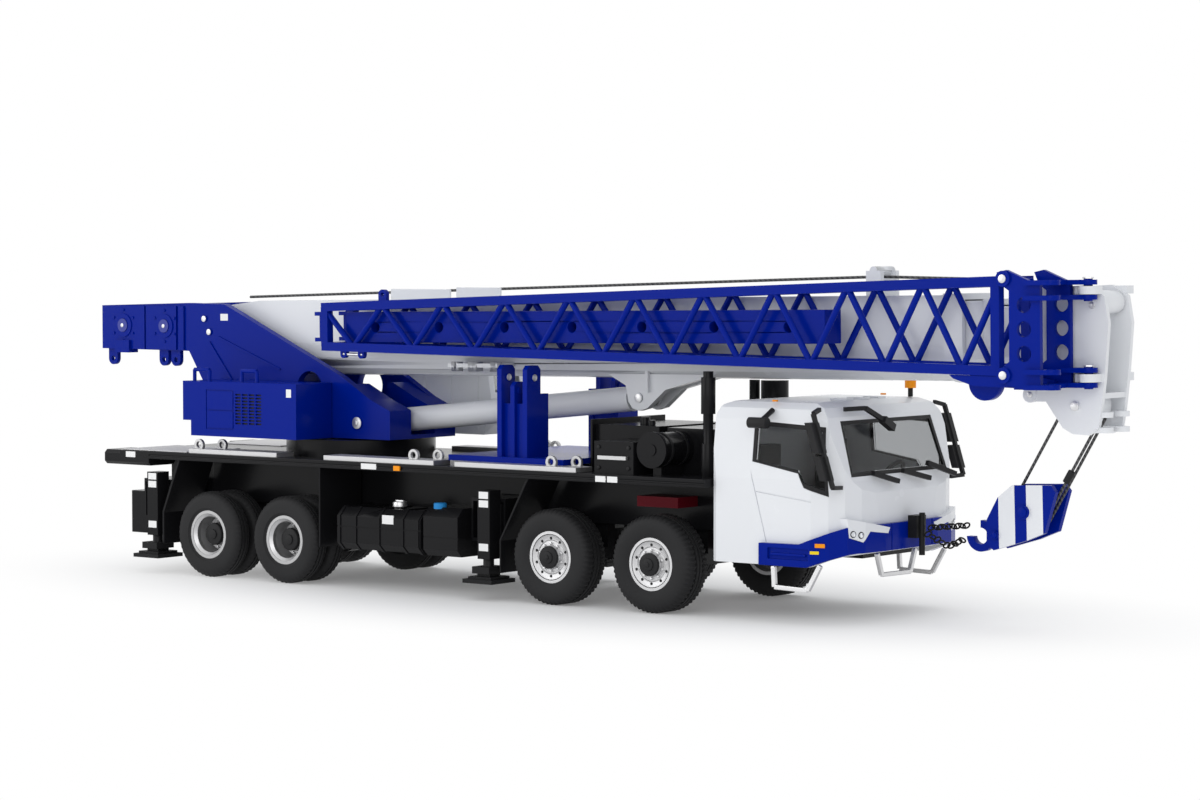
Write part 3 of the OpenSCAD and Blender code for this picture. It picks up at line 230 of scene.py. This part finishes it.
def softbox(name, place, target, size, power):
    """A square lamp at a place, turned to a target."""
    lamp = bpy.data.lights.new(name, "AREA")
    lamp.shape, lamp.size, lamp.energy = "SQUARE", size, power
    obj = bpy.data.objects.new(name, lamp)
    obj.location = place
    obj.rotation_euler = (Vector(place) - Vector(target)).to_track_quat("Z", "Y").to_euler()
    scene.collection.objects.link(obj)


softbox("key", (0.55, -1.0, 0.45), (0, 0, 0.04), 0.9, 3.4)
softbox("fill", (-0.75, -0.85, 0.35), (0, 0, 0.05), 0.8, 3.2)
softbox("top", (0.0, 0.3, 1.2), (0, 0, 0.03), 1.2, 4.0)


# Chassis: two rails with cross-members, beam and tube axles, a block for the engine.
# Zinc castings, sprayed gloss black and pinned together; the engine shows dark red.
def paint(finish, *names):
    """CAD nodes take a finish."""
    for name in names:
        slot = nodes[name].material_slots[0]
        slot.link = "OBJECT"
        slot.material = finish.material


def soften(width, *names):
    """Edges broken a little, as paint and casting leave them."""
    for name in names:
        weld = nodes[name].modifiers.new("weld", "WELD")
        weld.merge_threshold = 0.01 * MM
        edge = nodes[name].modifiers.new("edge", "BEVEL")
        edge.width, edge.segments, edge.limit_method = width * MM, 2, "ANGLE"
        edge.angle_limit = math.radians(35)


def enamel(name, colour, roughness=0.22, grain=0.012, gloss=0.12):
    """Sprayed model enamel: an even coat with a faint orange peel and duller patches."""
    finish = Finish(name, specular_ior_level=gloss)
    tone = finish.noise(60.0, 4.0)
    shade = finish.node("ValToRGB", {"stops": [(0.3, (0.8, 0.8, 0.8)), (0.7, (1, 1, 1))]}, Fac=tone)
    finish.colour = finish.node("MixRGB", {"blend_type": "MULTIPLY"}, Fac=0.12,
                                Color1=colour, Color2=shade)
    finish.set("Base Color", finish.colour)
    finish.set("Roughness", tone * 0.12 + roughness)
    finish.bump(finish.noise(1400.0, 2.0), 0.25, grain * MM)
    return finish


gloss_black = enamel("gloss_black", (0.008, 0.008, 0.009), 0.16)
satin_black = enamel("satin_black", (0.02, 0.02, 0.021), 0.4)
engine_red = enamel("engine_red", (0.09, 0.003, 0.008), 0.3, gloss=0.06)
paint(gloss_black, "frame", "axles", "outrigger_boxes", "turntable_ring")
paint(satin_black, "knuckle_r1", "knuckle_r2", "knuckle_l1", "knuckle_l2")
paint(engine_red, "engine")
soften(0.2, "frame")


# Deck: a black plate with mudguards under it, bright anti-slip boards laid along both
# edges, and lashing rings bent from wire. Labels on the edge are left blank.
def bright(name, tone, roughness):
    """Bare metal, brushed along the model, with faint stains."""
    finish = Finish(name, metallic=0.9)
    x, y, z = finish.axes()
    streak = finish.noise(900.0, 2.0, finish.node("CombineXYZ", X=x * 0.05, Y=y, Z=z))
    stain = finish.noise(35.0, 3.0)
    clean, stained = (tone, tone, tone * 1.01), (tone * 0.72, tone * 0.72, tone * 0.74)
    finish.set("Base Color", finish.mix(stain * 0.35, clean, stained))
    finish.set("Roughness", streak * 0.18 + (stain * 0.1 + roughness))
    finish.bump(streak, 0.3, 0.01 * MM)
    return finish


def piece(name, bm, finish, body):
    """A new piece from bm, in one finish, riding on a body."""
    bmesh.ops.recalc_face_normals(bm, faces=bm.faces)
    mesh = bpy.data.meshes.new(name)
    for face in bm.faces:
        face.smooth = True
    bm.to_mesh(mesh)
    bm.free()
    mesh.set_sharp_from_angle(angle=math.radians(38))
    mesh.materials.append(finish.material)
    obj = bpy.data.objects.new(name, mesh)
    scene.collection.objects.link(obj)
    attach(obj, body)
    return obj


front_axle = 44.6


def spot(x, y, z):
    """A place on the carrier, in millimetres from the front axle and the ground."""
    return Vector((x + front_axle, y, z)) * MM


def round_off(bm, edges, width):
    """Edges rounded in two steps."""
    bmesh.ops.bevel(bm, geom=list(edges), offset=width * MM, offset_type="OFFSET", segments=2,
                    profile=0.5, affect="EDGES", material=-1)


def block(bm, low, high, edge=0.0):
    """A box between two corners, its edges rounded if asked."""
    low, high = Vector(low), Vector(high)
    size = high - low
    made = bmesh.ops.create_cube(bm, size=1.0, matrix=Matrix.Translation((low + high) / 2)
                                 @ Matrix.Diagonal((abs(size.x), abs(size.y), abs(size.z), 1.0)))
    if edge:
        round_off(bm, {e for v in made["verts"] for e in v.link_edges}, edge)


deck_metal = bright("bright_boards", 0.52, 0.3)
deck_x, deck_y, _ = deck_metal.axes()
chequer = [deck_metal.ribs(260.0, deck_metal.node("CombineXYZ", X=deck_x, Y=deck_y * way), "DIAGONAL")
           for way in (-1.0, 1.0)]
deck_metal.bump(chequer[0].larger(chequer[1]), 0.4, 0.06 * MM)
paint(gloss_black, "deck")
paint(deck_metal, "deck_plates")
soften(0.2, "deck")
soften(0.12, "deck_plates")
label_white = enamel("label_film", (0.82, 0.82, 0.82), 0.35, 0.004)
label_face, label_back = -29.05, -28.6
bm = bmesh.new()
for x0, x1, z0, z1 in ((-172.9, -169.4, 30.5, 32.0), (-89.4, -84.4, 30.6, 32.0),
                       (-15.4, -12.4, 30.5, 31.9), (-11.9, -8.9, 30.5, 31.9)):
    block(bm, spot(x0, label_face, z0), spot(x1, label_back, z1))
piece("deck_labels", bm, label_white, "carrier")


# Outriggers: square beams that slide out of two cross boxes, each with a jack tube
# and a square pad. Steel, sprayed black; blank labels stand on the near tubes.
def disc(bm, foot, along, radius, depth, sides=28, edge=0.0):
    """A round pin, cap or bolt head standing on a face."""
    along = Vector(along).normalized()
    turn = along.to_track_quat("Z", "Y").to_matrix().to_4x4()
    middle = foot + along * depth * MM / 2
    made = bmesh.ops.create_cone(bm, cap_ends=True, cap_tris=False, segments=sides,
                                 radius1=radius * MM, radius2=radius * MM, depth=depth * MM,
                                 matrix=Matrix.Translation(middle) @ turn)
    if edge:
        top = [v for v in made["verts"] if (v.co - foot).dot(along) > depth * MM / 2]
        round_off(bm, {e for v in top for e in v.link_edges if all(w in top for w in e.verts)}, edge)


jack_black = enamel("jack_black", (0.012, 0.012, 0.013), 0.3)
steel = bright("bright_steel", 0.7, 0.22)
for corner in ("fr", "fl", "rr", "rl"):
    paint(gloss_black, "beam_" + corner)
    paint(jack_black, "jack_" + corner)
    soften(0.15, "beam_" + corner, "jack_" + corner)
half_label, proud, sunk = 1.45 * MM, 0.05 * MM, 0.3 * MM
for name in ("beam_fr", "beam_rr"):
    low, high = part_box(name)
    middle, face = (low[0] + high[0]) / 2, low[1]
    bm = bmesh.new()
    for z0, z1 in ((22.7, 24.4), (24.8, 26.5), (12.0, 13.8)):
        block(bm, (middle - half_label, face - proud, z0 * MM),
              (middle + half_label, face + sunk, z1 * MM))
    piece(name + "_labels", bm, label_white, name)


# Tanks: fuel and oil tanks in pressed steel with ribs, hung on the rails. The fuel cap
# is bright, the oil cap blue, and a blank label stands on the near tank.
blue_cap = enamel("cap_blue", (0.02, 0.22, 0.55), 0.3)
fuel_x, fuel_y, oil_x, oil_y = -83.0, 21.5, -66.8, 25.0
paint(gloss_black, "tanks")
soften(0.25, "tanks")
fuel_caps, oil_caps, bm = bmesh.new(), bmesh.new(), bmesh.new()
for side in (-1, 1):
    disc(fuel_caps, spot(fuel_x, side * fuel_y, 21.0), (0, 0, 1), 1.85, 1.25, 28, 0.3)
    block(fuel_caps, spot(fuel_x - 1.3, side * fuel_y - 0.3, 22.1),
          spot(fuel_x + 1.3, side * fuel_y + 0.3, 22.6), 0.12)
    disc(oil_caps, spot(oil_x, side * oil_y, 21.4), (0, 0, 1), 1.65, 1.5, 28, 0.35)
block(bm, spot(-83.3, -28.05, 17.0), spot(-79.6, -27.8, 19.2))
piece("fuel_caps", fuel_caps, steel, "carrier")
piece("oil_caps", oil_caps, blue_cap, "carrier")
piece("tank_label", bm, label_white, "carrier")


# Wheels: bright pressed rims, drilled in front and stepped and deeply dished behind, with
# black hub covers and rings of nuts. Moulded rubber tyres carry lugs or plain grooves.
def turned(bm, centre, side, outline, steps):
    """A closed outline of radius and reach, spun about an axle; side is the way it faces."""
    ring = [bm.verts.new(centre + Vector((0, side * y, r)) * MM) for r, y in outline]
    loop = [bm.edges.new((ring[i - 1], ring[i])) for i in range(len(ring))]
    bmesh.ops.spin(bm, geom=ring + loop, cent=centre, axis=(0, 1, 0), angle=2 * math.pi,
                   steps=steps, use_merge=True)


def tread(bm, centre, side, radius, width, grooves, lugs, depth):
    """A tyre turned about its axle, from its inner wall out; side is the way it faces."""
    wall = [(bead_r, 0.5), (bead_r + 0.5, 0.3), (radius - 4.2, 0.06), (radius - 2.2, 0.0),
            (radius - 1.3, 0.12), (radius - 0.7, 0.4), (radius, 1.3)]
    outline = list(wall)
    for share in grooves:
        y, floor = width * share, radius - 0.5
        outline += [(radius, y - 0.22), (floor, y - 0.18), (floor, y + 0.18), (radius, y + 0.22)]
    outline += [(r, width - y) for r, y in reversed(wall)]
    before, steps = len(bm.verts), lugs * 4
    turned(bm, centre, side, outline, steps)
    first = min(grooves) * width
    for v in list(bm.verts)[before:]:
        out = v.co - centre
        y, reach = side * out.y / MM, math.hypot(out.x, out.z) / MM
        shoulder = y < first - 0.1 or y > width - first + 0.1
        slot = round((math.atan2(out.x, out.z) / (2 * math.pi)) % 1.0 * steps) % 4
        if shoulder and reach > radius - 1.0 and slot in (2, 3):
            share = depth if reach > radius - 0.1 else depth * 0.7
            v.co -= Vector((out.x, 0, out.z)).normalized() * share * MM


bead_r, nuts_each = 6.32, 10
front_r, front_w, front_y = 11.6, 8.6, 19.8
rear_r, rear_w, twin_y = 11.2, 5.4, (16.5, 23.3)
rubber = Finish("tyre_rubber", specular_ior_level=0.15)
soil = rubber.noise(90.0, 4.0)
rubber.set("Base Color", rubber.mix(soil, (0.013, 0.013, 0.014), (0.024, 0.024, 0.025)))
rubber.set("Roughness", soil * 0.15 + 0.52)
rubber.bump(rubber.noise(1600.0, 2.0), 0.35, 0.02 * MM)
rim_metal = bright("rim_metal", 0.6, 0.28)
# The rear rims are a darker copy of the rim metal: painted shade for their deep dishes.
dish_metal_painted_shade = bright("dish_metal_painted_shade", 0.42, 0.3)
paint(rim_metal, "rim_r1", "rim_r2", "rim_l1", "rim_l2")
paint(dish_metal_painted_shade, "rims_3", "rims_4")
paint(rubber, "tyre_r1", "tyre_r2", "tyre_l1", "tyre_l2", "tyres_3", "tyres_4")
disc_outline = ((2.4, -1.4), (2.4, -1.15), (3.95, -1.25), (4.2, -1.0), (4.95, -0.95),
                (5.42, -0.72), (5.42, -1.0), (4.9, -1.2))
nut_ring, hole_ring = 3.35, 4.58
for name, side, x in (("r1", -1, 0.0), ("r2", -1, -30.0), ("l1", 1, 0.0), ("l2", 1, -30.0)):
    body, out = "wheel_" + name, Vector((0, side, 0))
    hub = spot(x, side * (front_y + front_w), front_r)
    tyre, cover, plate, nuts, hole_shade = (bmesh.new() for _ in range(5))
    tread(tyre, spot(x, side * front_y, front_r), side, front_r, front_w, (0.36, 0.5, 0.64), 56, 0.3)
    for y, radius, depth, sides, edge in ((-0.4, 2.75, 0.75, 36, 0.25), (0.2, 1.5, 0.5, 28, 0.2),
                                          (0.6, 0.6, 0.3, 6, 0.06)):
        disc(cover, hub + out * y * MM, out, radius, depth, sides, edge)
    turned(plate, hub, side, disc_outline, 60)
    for i in range(nuts_each):
        turn = 2 * math.pi * (i + 0.5) / nuts_each
        ray = Vector((math.cos(turn), 0, math.sin(turn)))
        disc(nuts, hub + (ray * nut_ring - out * 1.4) * MM, out, 0.34, 0.75, 6, 0.08)
        # Flat black discs on the ring of holes: painted shade where the drilled holes show dark, not
        # openings.
        disc(hole_shade, hub + (ray * hole_ring - out * 1.1) * MM, out, 0.36, 0.17, 20)
    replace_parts(piece("treaded_tyre_" + name, tyre, rubber, body), "tyre_" + name)
    piece("hub_cover_" + name, cover, satin_black, body)
    piece("wheel_disc_" + name, plate, rim_metal, body)
    piece("wheel_nuts_" + name, nuts, steel, body)
    piece("wheel_hole_shade_" + name, hole_shade, satin_black, body)
step_outline = ((5.47, 28.1), (4.75, 27.4), (4.75, 27.1), (5.25, 26.9))
nut_ring = 3.85
for name, x in (("3", -116.4), ("4", -143.4)):
    body = "axle_" + name
    tyres, covers, steps, nuts = (bmesh.new() for _ in range(4))
    for side in (-1, 1):
        out = Vector((0, side, 0))
        for y in twin_y:
            tread(tyres, spot(x, side * y, rear_r), side, rear_r, rear_w, (0.3, 0.5, 0.7), 48, 0.15)
        turned(steps, spot(x, 0, rear_r), side, step_outline, 60)
        disc(covers, spot(x, side * 22.6, rear_r), out, 2.9, 3.8, 32, 0.4)
        disc(covers, spot(x, side * 26.3, rear_r), out, 1.3, 0.5, 24, 0.15)
        for i in range(nuts_each):
            turn = 2 * math.pi * i / nuts_each
            foot = spot(x + nut_ring * math.cos(turn), side * 22.9, rear_r + nut_ring * math.sin(turn))
            disc(nuts, foot, out, 0.36, 0.9, 6, 0.08)
    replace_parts(piece("grooved_tyres_" + name, tyres, rubber, body), "tyres_" + name)
    piece("hub_covers_" + name, covers, satin_black, body)
    piece("rim_steps_" + name, steps, rim_metal, body)
    piece("wheel_nuts_" + name, nuts, steel, body)


# Power pack behind the cab: tool boxes, tank, engine hood, air cleaner and stack. Black
# castings with wing bolts on the boxes and bands round the air cleaner.
cleaner_x, cleaner_z = -1.6, 38.3
paint(gloss_black, "powerpack")
soften(0.25, "powerpack")
bm = bmesh.new()
for y in (-22.6, -16.4):
    disc(bm, spot(cleaner_x, y, cleaner_z), (0, 1, 0), 4.12, 0.9, 40, 0.1)
for x in (-16.6, -7.8):
    for z in (38.6, 33.7):
        disc(bm, spot(x, -25.95, z), (0, -1, 0), 0.5, 0.4, 6, 0.08)
piece("pack_fittings", bm, satin_black, "carrier")


# Carrier cab: a white shell with cut windows, black rubbers, dark moulded inside and a
# blue bumper wrapped round the nose. Steps are bent wire; lamps are clear, amber or red.
white_coat, blue_coat = (0.76, 0.775, 0.80), (0.0, 0.012, 0.245)
gloss_white = enamel("gloss_white", white_coat, 0.2)
royal_blue = enamel("royal_blue", blue_coat, 0.17, gloss=0.06)
inside_grey = enamel("inside_grey", (0.022, 0.022, 0.024), 0.5)
paint(gloss_white, "cab_shell")
paint(royal_blue, "bumper")
paint(inside_grey, "cab_interior")
paint(satin_black, "cab_trim")
paint(steel, "cab_steps")
soften(0.3, "cab_shell")
soften(0.25, "bumper")
soften(0.22, "cab_steps", "cab_trim")
window = Finish("window_glass", roughness=0.03, ior=1.18, transmission_weight=1.0)
smear = window.noise(70.0, 3.0)
window.set("Base Color", window.mix(smear, (0.52, 0.53, 0.54), (0.58, 0.59, 0.60)))
paint(window, "cab_glass")
amber, tail_red, tail_x = (0.9, 0.30, 0.01), (0.5, 0.01, 0.01), -130.0 * MM
lens = enamel("lens_amber", amber, 0.12)
lens.set("Base Color", lens.mix(lens.axes()[0] < tail_x, lens.colour, tail_red))
paint(lens, "lamps")
clear_lens = Finish("lens_clear", roughness=0.08, coat_weight=1.0, metallic=0.6)
facets = clear_lens.ribs(900.0, clear_lens.place())
clear_lens.set("Base Color", clear_lens.mix(facets, (0.55, 0.57, 0.6), (0.85, 0.87, 0.9)))
clear_lens.bump(facets, 0.3, 0.03 * MM)
label_yellow = enamel("label_yellow", (0.85, 0.62, 0.02), 0.35, 0.004)
nose_x, nose_y, nose_rake = 52.1, 23.5, 1.8 / 4.8
label_turn = math.radians(17.65)
lamps, rings, label = bmesh.new(), bmesh.new(), bmesh.new()
for side in (-1, 1):
    facing = Vector((1.0, side * nose_rake, 0.0)).normalized()
    for y, z in ((22.0, 21.0), (19.9, 20.7)):
        lamp = spot(nose_x + (nose_y - y) * nose_rake, side * y, z)
        disc(rings, lamp - facing * 0.3 * MM, facing, 0.8, 0.42, 28, 0.08)
        disc(lamps, lamp - facing * 0.2 * MM, facing, 0.62, 0.42, 28, 0.12)
bmesh.ops.create_cube(label, size=1.0, matrix=Matrix.Translation(spot(45.65, -27.26, 16.8))
                      @ Matrix.Rotation(label_turn, 4, "Z")
                      @ Matrix.Diagonal((2.1 * MM, 0.16 * MM, 0.7 * MM, 1.0)))
piece("bumper_label", label, label_yellow, "carrier")
piece("headlamp_rings", rings, satin_black, "carrier")
piece("headlamps", lamps, clear_lens, "carrier")


# Towing eye and chain: a black casting with a drop pin, and bent wire links that hold
# the hook back against the bumper.
chain_black = enamel("chain_black", (0.012, 0.012, 0.012), 0.32)
paint(chain_black, "tow_chain")


# Counterweight: a slab with two pairs of lifting posts standing on the deck, cast in
# zinc and sprayed blue, with bright pins through the ears.
paint(royal_blue, "counterweight")
soften(0.25, "counterweight")
ear_y, ear_z = 20.0, 54.3
bm = bmesh.new()
for side in (-1, 1):
    for x, way in ((-50.85, -1), (-48.95, 1), (-42.85, -1), (-40.95, 1)):
        disc(bm, spot(x, side * ear_y, ear_z), (way, 0, 0), 0.85, 0.2, 20, 0.08)
piece("ear_pins", bm, steel, "carrier")


# Slewing frame: two side plates on a turntable, with a winch box behind and a machinery
# housing on the near side. Sprayed blue; pin ends are bright and labels blank.
paint(royal_blue, "slew_frame", "housing")
soften(0.22, "slew_frame", "housing")
drum = bright("winch_drum", 0.7, 0.22)
drum_y = drum.axes()[1]
axle_end = drum_y.math("ABSOLUTE", drum_y) > 12.2 * MM
drum.set("Base Color", drum.mix(axle_end, (0.62, 0.62, 0.63), blue_coat))
drum.set("Metallic", 0.9 - axle_end * 0.9)
paint(drum, "winch_main", "winch_aux")
rope = Finish("laid_rope", metallic=0.4)
lay = rope.ribs(420.0, rope.place(), "DIAGONAL")
rope.set("Base Color", rope.mix(lay, (0.02, 0.02, 0.021), (0.10, 0.10, 0.103)))
rope.set("Roughness", lay * 0.2 + 0.4)
rope.bump(lay, 0.6, 0.08 * MM)
strand, half_drum, drum_r = 0.8, 9.4, 3.85
strand_arc = ((4.02, 0.02), (4.3, 0.2), (4.38, 0.4), (4.3, 0.6), (4.02, 0.78))
turns = int(2 * half_drum / strand)
wound = [(drum_r, -half_drum)]
for i in range(turns):
    wound += [(r, (i - turns / 2) * strand + y) for r, y in strand_arc]
wound.append((drum_r, half_drum))
for name in ("winch_main", "winch_aux"):
    low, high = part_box(name)
    middle = (Vector(low) + Vector(high)) / 2
    coil, pins = bmesh.new(), bmesh.new()
    turned(coil, middle, 1, wound, 48)
    for face, way in ((low[1], -1), (high[1], 1)):
        foot = Vector((middle.x, face - way * 0.2 * MM, middle.z))
        disc(pins, foot, (0, way, 0), 0.55, 0.35, 20, 0.08)
    piece(name + "_rope", coil, rope, name)
    piece(name + "_pins", pins, steel, name)
plate_y, slew_pin_x, slew_pin_z = 13.35, -104.6, 41.0
pins, shade, labels = bmesh.new(), bmesh.new(), bmesh.new()
for side in (-1, 1):
    for x, z in ((-159.1, 67.2), (-157.3, 63.7)):
        disc(pins, spot(x, side * plate_y, z), (0, side, 0), 0.8, 0.2, 24, 0.08)
disc(pins, spot(slew_pin_x, -plate_y, slew_pin_z), (0, -1, 0), 1.55, 0.25, 28, 0.1)
disc(pins, spot(slew_pin_x, -plate_y - 0.2, slew_pin_z), (0, -1, 0), 0.7, 0.35, 6, 0.08)
# A thin black plate just inside the louvre cuts: painted shade in the slots.
block(shade, spot(-135.0, -26.52, 40.0), spot(-124.8, -26.3, 48.8))
block(labels, spot(-153.3, -13.04, 66.8), spot(-150.6, -12.8, 68.6))
block(labels, spot(-116.7, -27.04, 47.7), spot(-115.0, -26.8, 49.8))
piece("frame_pins", pins, steel, "slew")
piece("louvre_shade", shade, satin_black, "slew")
piece("frame_labels", labels, label_white, "slew")


# Crane operator's cab: a white shell with tinted panes, standing against the far side
# plate of the slewing frame. The seat is moulded with the floor and painted dark.
cab_white = enamel("cab_white", white_coat, 0.22)
cab_x, cab_y, cab_z = cab_white.axes()
seat = (cab_x.between(-61.1 * MM, -50.9 * MM) * cab_y.between(16.2 * MM, 24.8 * MM)
        * (cab_z > 38.4 * MM))
cab_white.set("Base Color", cab_white.mix(seat, cab_white.colour, (0.03, 0.03, 0.033)))
paint(cab_white, "crane_cab")
paint(window, "crane_cab_glass")
soften(0.25, "crane_cab")


# Boom: a folded white box with two sections inside and a head built of plates; the luffing
# cylinder has a white barrel and a chromed rod. Pin ends are bright.
foot_x, foot_z, boom_lift = -158.5, 65.5, math.radians(0.8)


def on_boom(x, y, z):
    """A place on the boom, in millimetres from its foot pin."""
    c, s = math.cos(boom_lift), math.sin(boom_lift)
    return spot(foot_x + x * c - z * s, y, foot_z + x * s + z * c)


paint(gloss_white, "boom_base", "boom_section_2", "boom_section_3", "boom_head", "luff_barrel")
rod_plate = bright("plated_rod", 0.82, 0.12)
paint(rod_plate, "luff_rod")
soften(0.3, "boom_base", "boom_section_2", "boom_section_3")
soften(0.2, "boom_head")
bracket_pin, rails, head_pins = bmesh.new(), bmesh.new(), bmesh.new()
for side in (-1, 1):
    disc(bracket_pin, on_boom(137.6, side * 4.95, -18.0), (0, side, 0), 1.05, 0.2, 24, 0.08)
    disc(head_pins, on_boom(263.0, side * 6.05, 3.9), (0, side, 0), 0.75, 0.25, 24, 0.08)
    disc(head_pins, on_boom(258.8, side * 6.45, -18.3), (0, side, 0), 1.05, 0.25, 24, 0.08)
    disc(head_pins, on_boom(247.3, side * 6.15, -15.9), (0, side, 0), 0.7, 0.25, 6, 0.06)
for x0, x1, top in ((58.0, 78.0, 8.9), (80.0, 94.5, 9.2)):
    block(rails, on_boom(x0, -4.7, 6.2), on_boom(x1, -4.0, top), 0.2)
piece("bracket_pin", bracket_pin, steel, "boom_base")
piece("boom_rails", rails, gloss_white, "boom_base")
piece("head_pins", head_pins, steel, "boom_3")


# Jib: a blue lattice of square chords and round lacing, with a drilled box inside and a
# forked yoke at its base. Folded along the near side of the boom and pinned at the head.
paint(royal_blue, "jib", "jib_base", "jib_beam")
soften(0.18, "jib_base", "jib_beam")
bolts, rest_pin = bmesh.new(), bmesh.new()
for z in (10.0, -11.0):
    disc(bolts, on_boom(251.95, -25.9, z), (0, -1, 0), 0.95, 0.3, 24, 0.1)
for z in (9.85, -9.45):
    disc(bolts, on_boom(263.3, -8.25, z), (0, 0, 1), 1.25, 0.35, 6, 0.1)
pin_start, pin_end = on_boom(56.6, -21.57, -7.27), on_boom(64.0, -21.61, -7.43)
disc(rest_pin, pin_start, pin_end - pin_start, 0.4, 6.8, 16)
piece("jib_bolts", bolts, steel, "jib")
piece("jib_rest_pin", rest_pin, steel, "jib")


# Hoist rope, falls and hook block: laid steel rope in dark grey with a black socket; blue
# cheeks with white warning bands either side of the sheave, capped pins and a forged hook.
paint(rope, "hoist_rope", "rope_falls")
hook_paint = enamel("hook_paint", blue_coat, 0.2, gloss=0.06)
hook_low, hook_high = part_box("hook_block")
cheek, band_lean = hook_high[0] - 8.1 * MM, 0.03
hx, hy, hz = hook_paint.axes()
lean = hx + hz * band_lean - band_lean * 0.5 * (hook_low[2] + hook_high[2])
band = (lean.between(cheek - 6.4 * MM, cheek - 2.2 * MM)
        + lean.between(cheek + 0.8 * MM, cheek + 5.0 * MM))
outer = hy.between(3.6 * MM, 3.9 * MM) + hy.between(-3.9 * MM, -3.6 * MM)
hook_paint.set("Base Color", hook_paint.mix(band * outer, hook_paint.colour, white_coat))
paint(hook_paint, "hook_block")
soften(0.2, "hook_block")
cheek_y, sheave_x, sheave_z, shank_x, shank_z = 4.4, 86.22, 26.52, 79.02, 21.02
pins, socket = bmesh.new(), bmesh.new()
for side in (-1, 1):
    disc(pins, spot(sheave_x, side * cheek_y, sheave_z), (0, side, 0), 1.15, 0.3, 28, 0.12)
    disc(pins, spot(shank_x, side * cheek_y, shank_z), (0, side, 0), 0.75, 0.3, 24, 0.2)
fall_top, fall_lean = spot(100.53, -1.1, 50.82), math.radians(30.5)
fall_up = Vector((math.sin(fall_lean), 0, math.cos(fall_lean)))
fall_across = Vector((math.cos(fall_lean), 0, -math.sin(fall_lean)))
disc(socket, fall_top + (fall_across * 4.5 - fall_up * 17.5) * MM, fall_up, 0.85, 3.0, 20, 0.25)
piece("hook_pins", pins, royal_blue, "hook")
piece("rope_socket", socket, satin_black, "hook")

low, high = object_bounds()
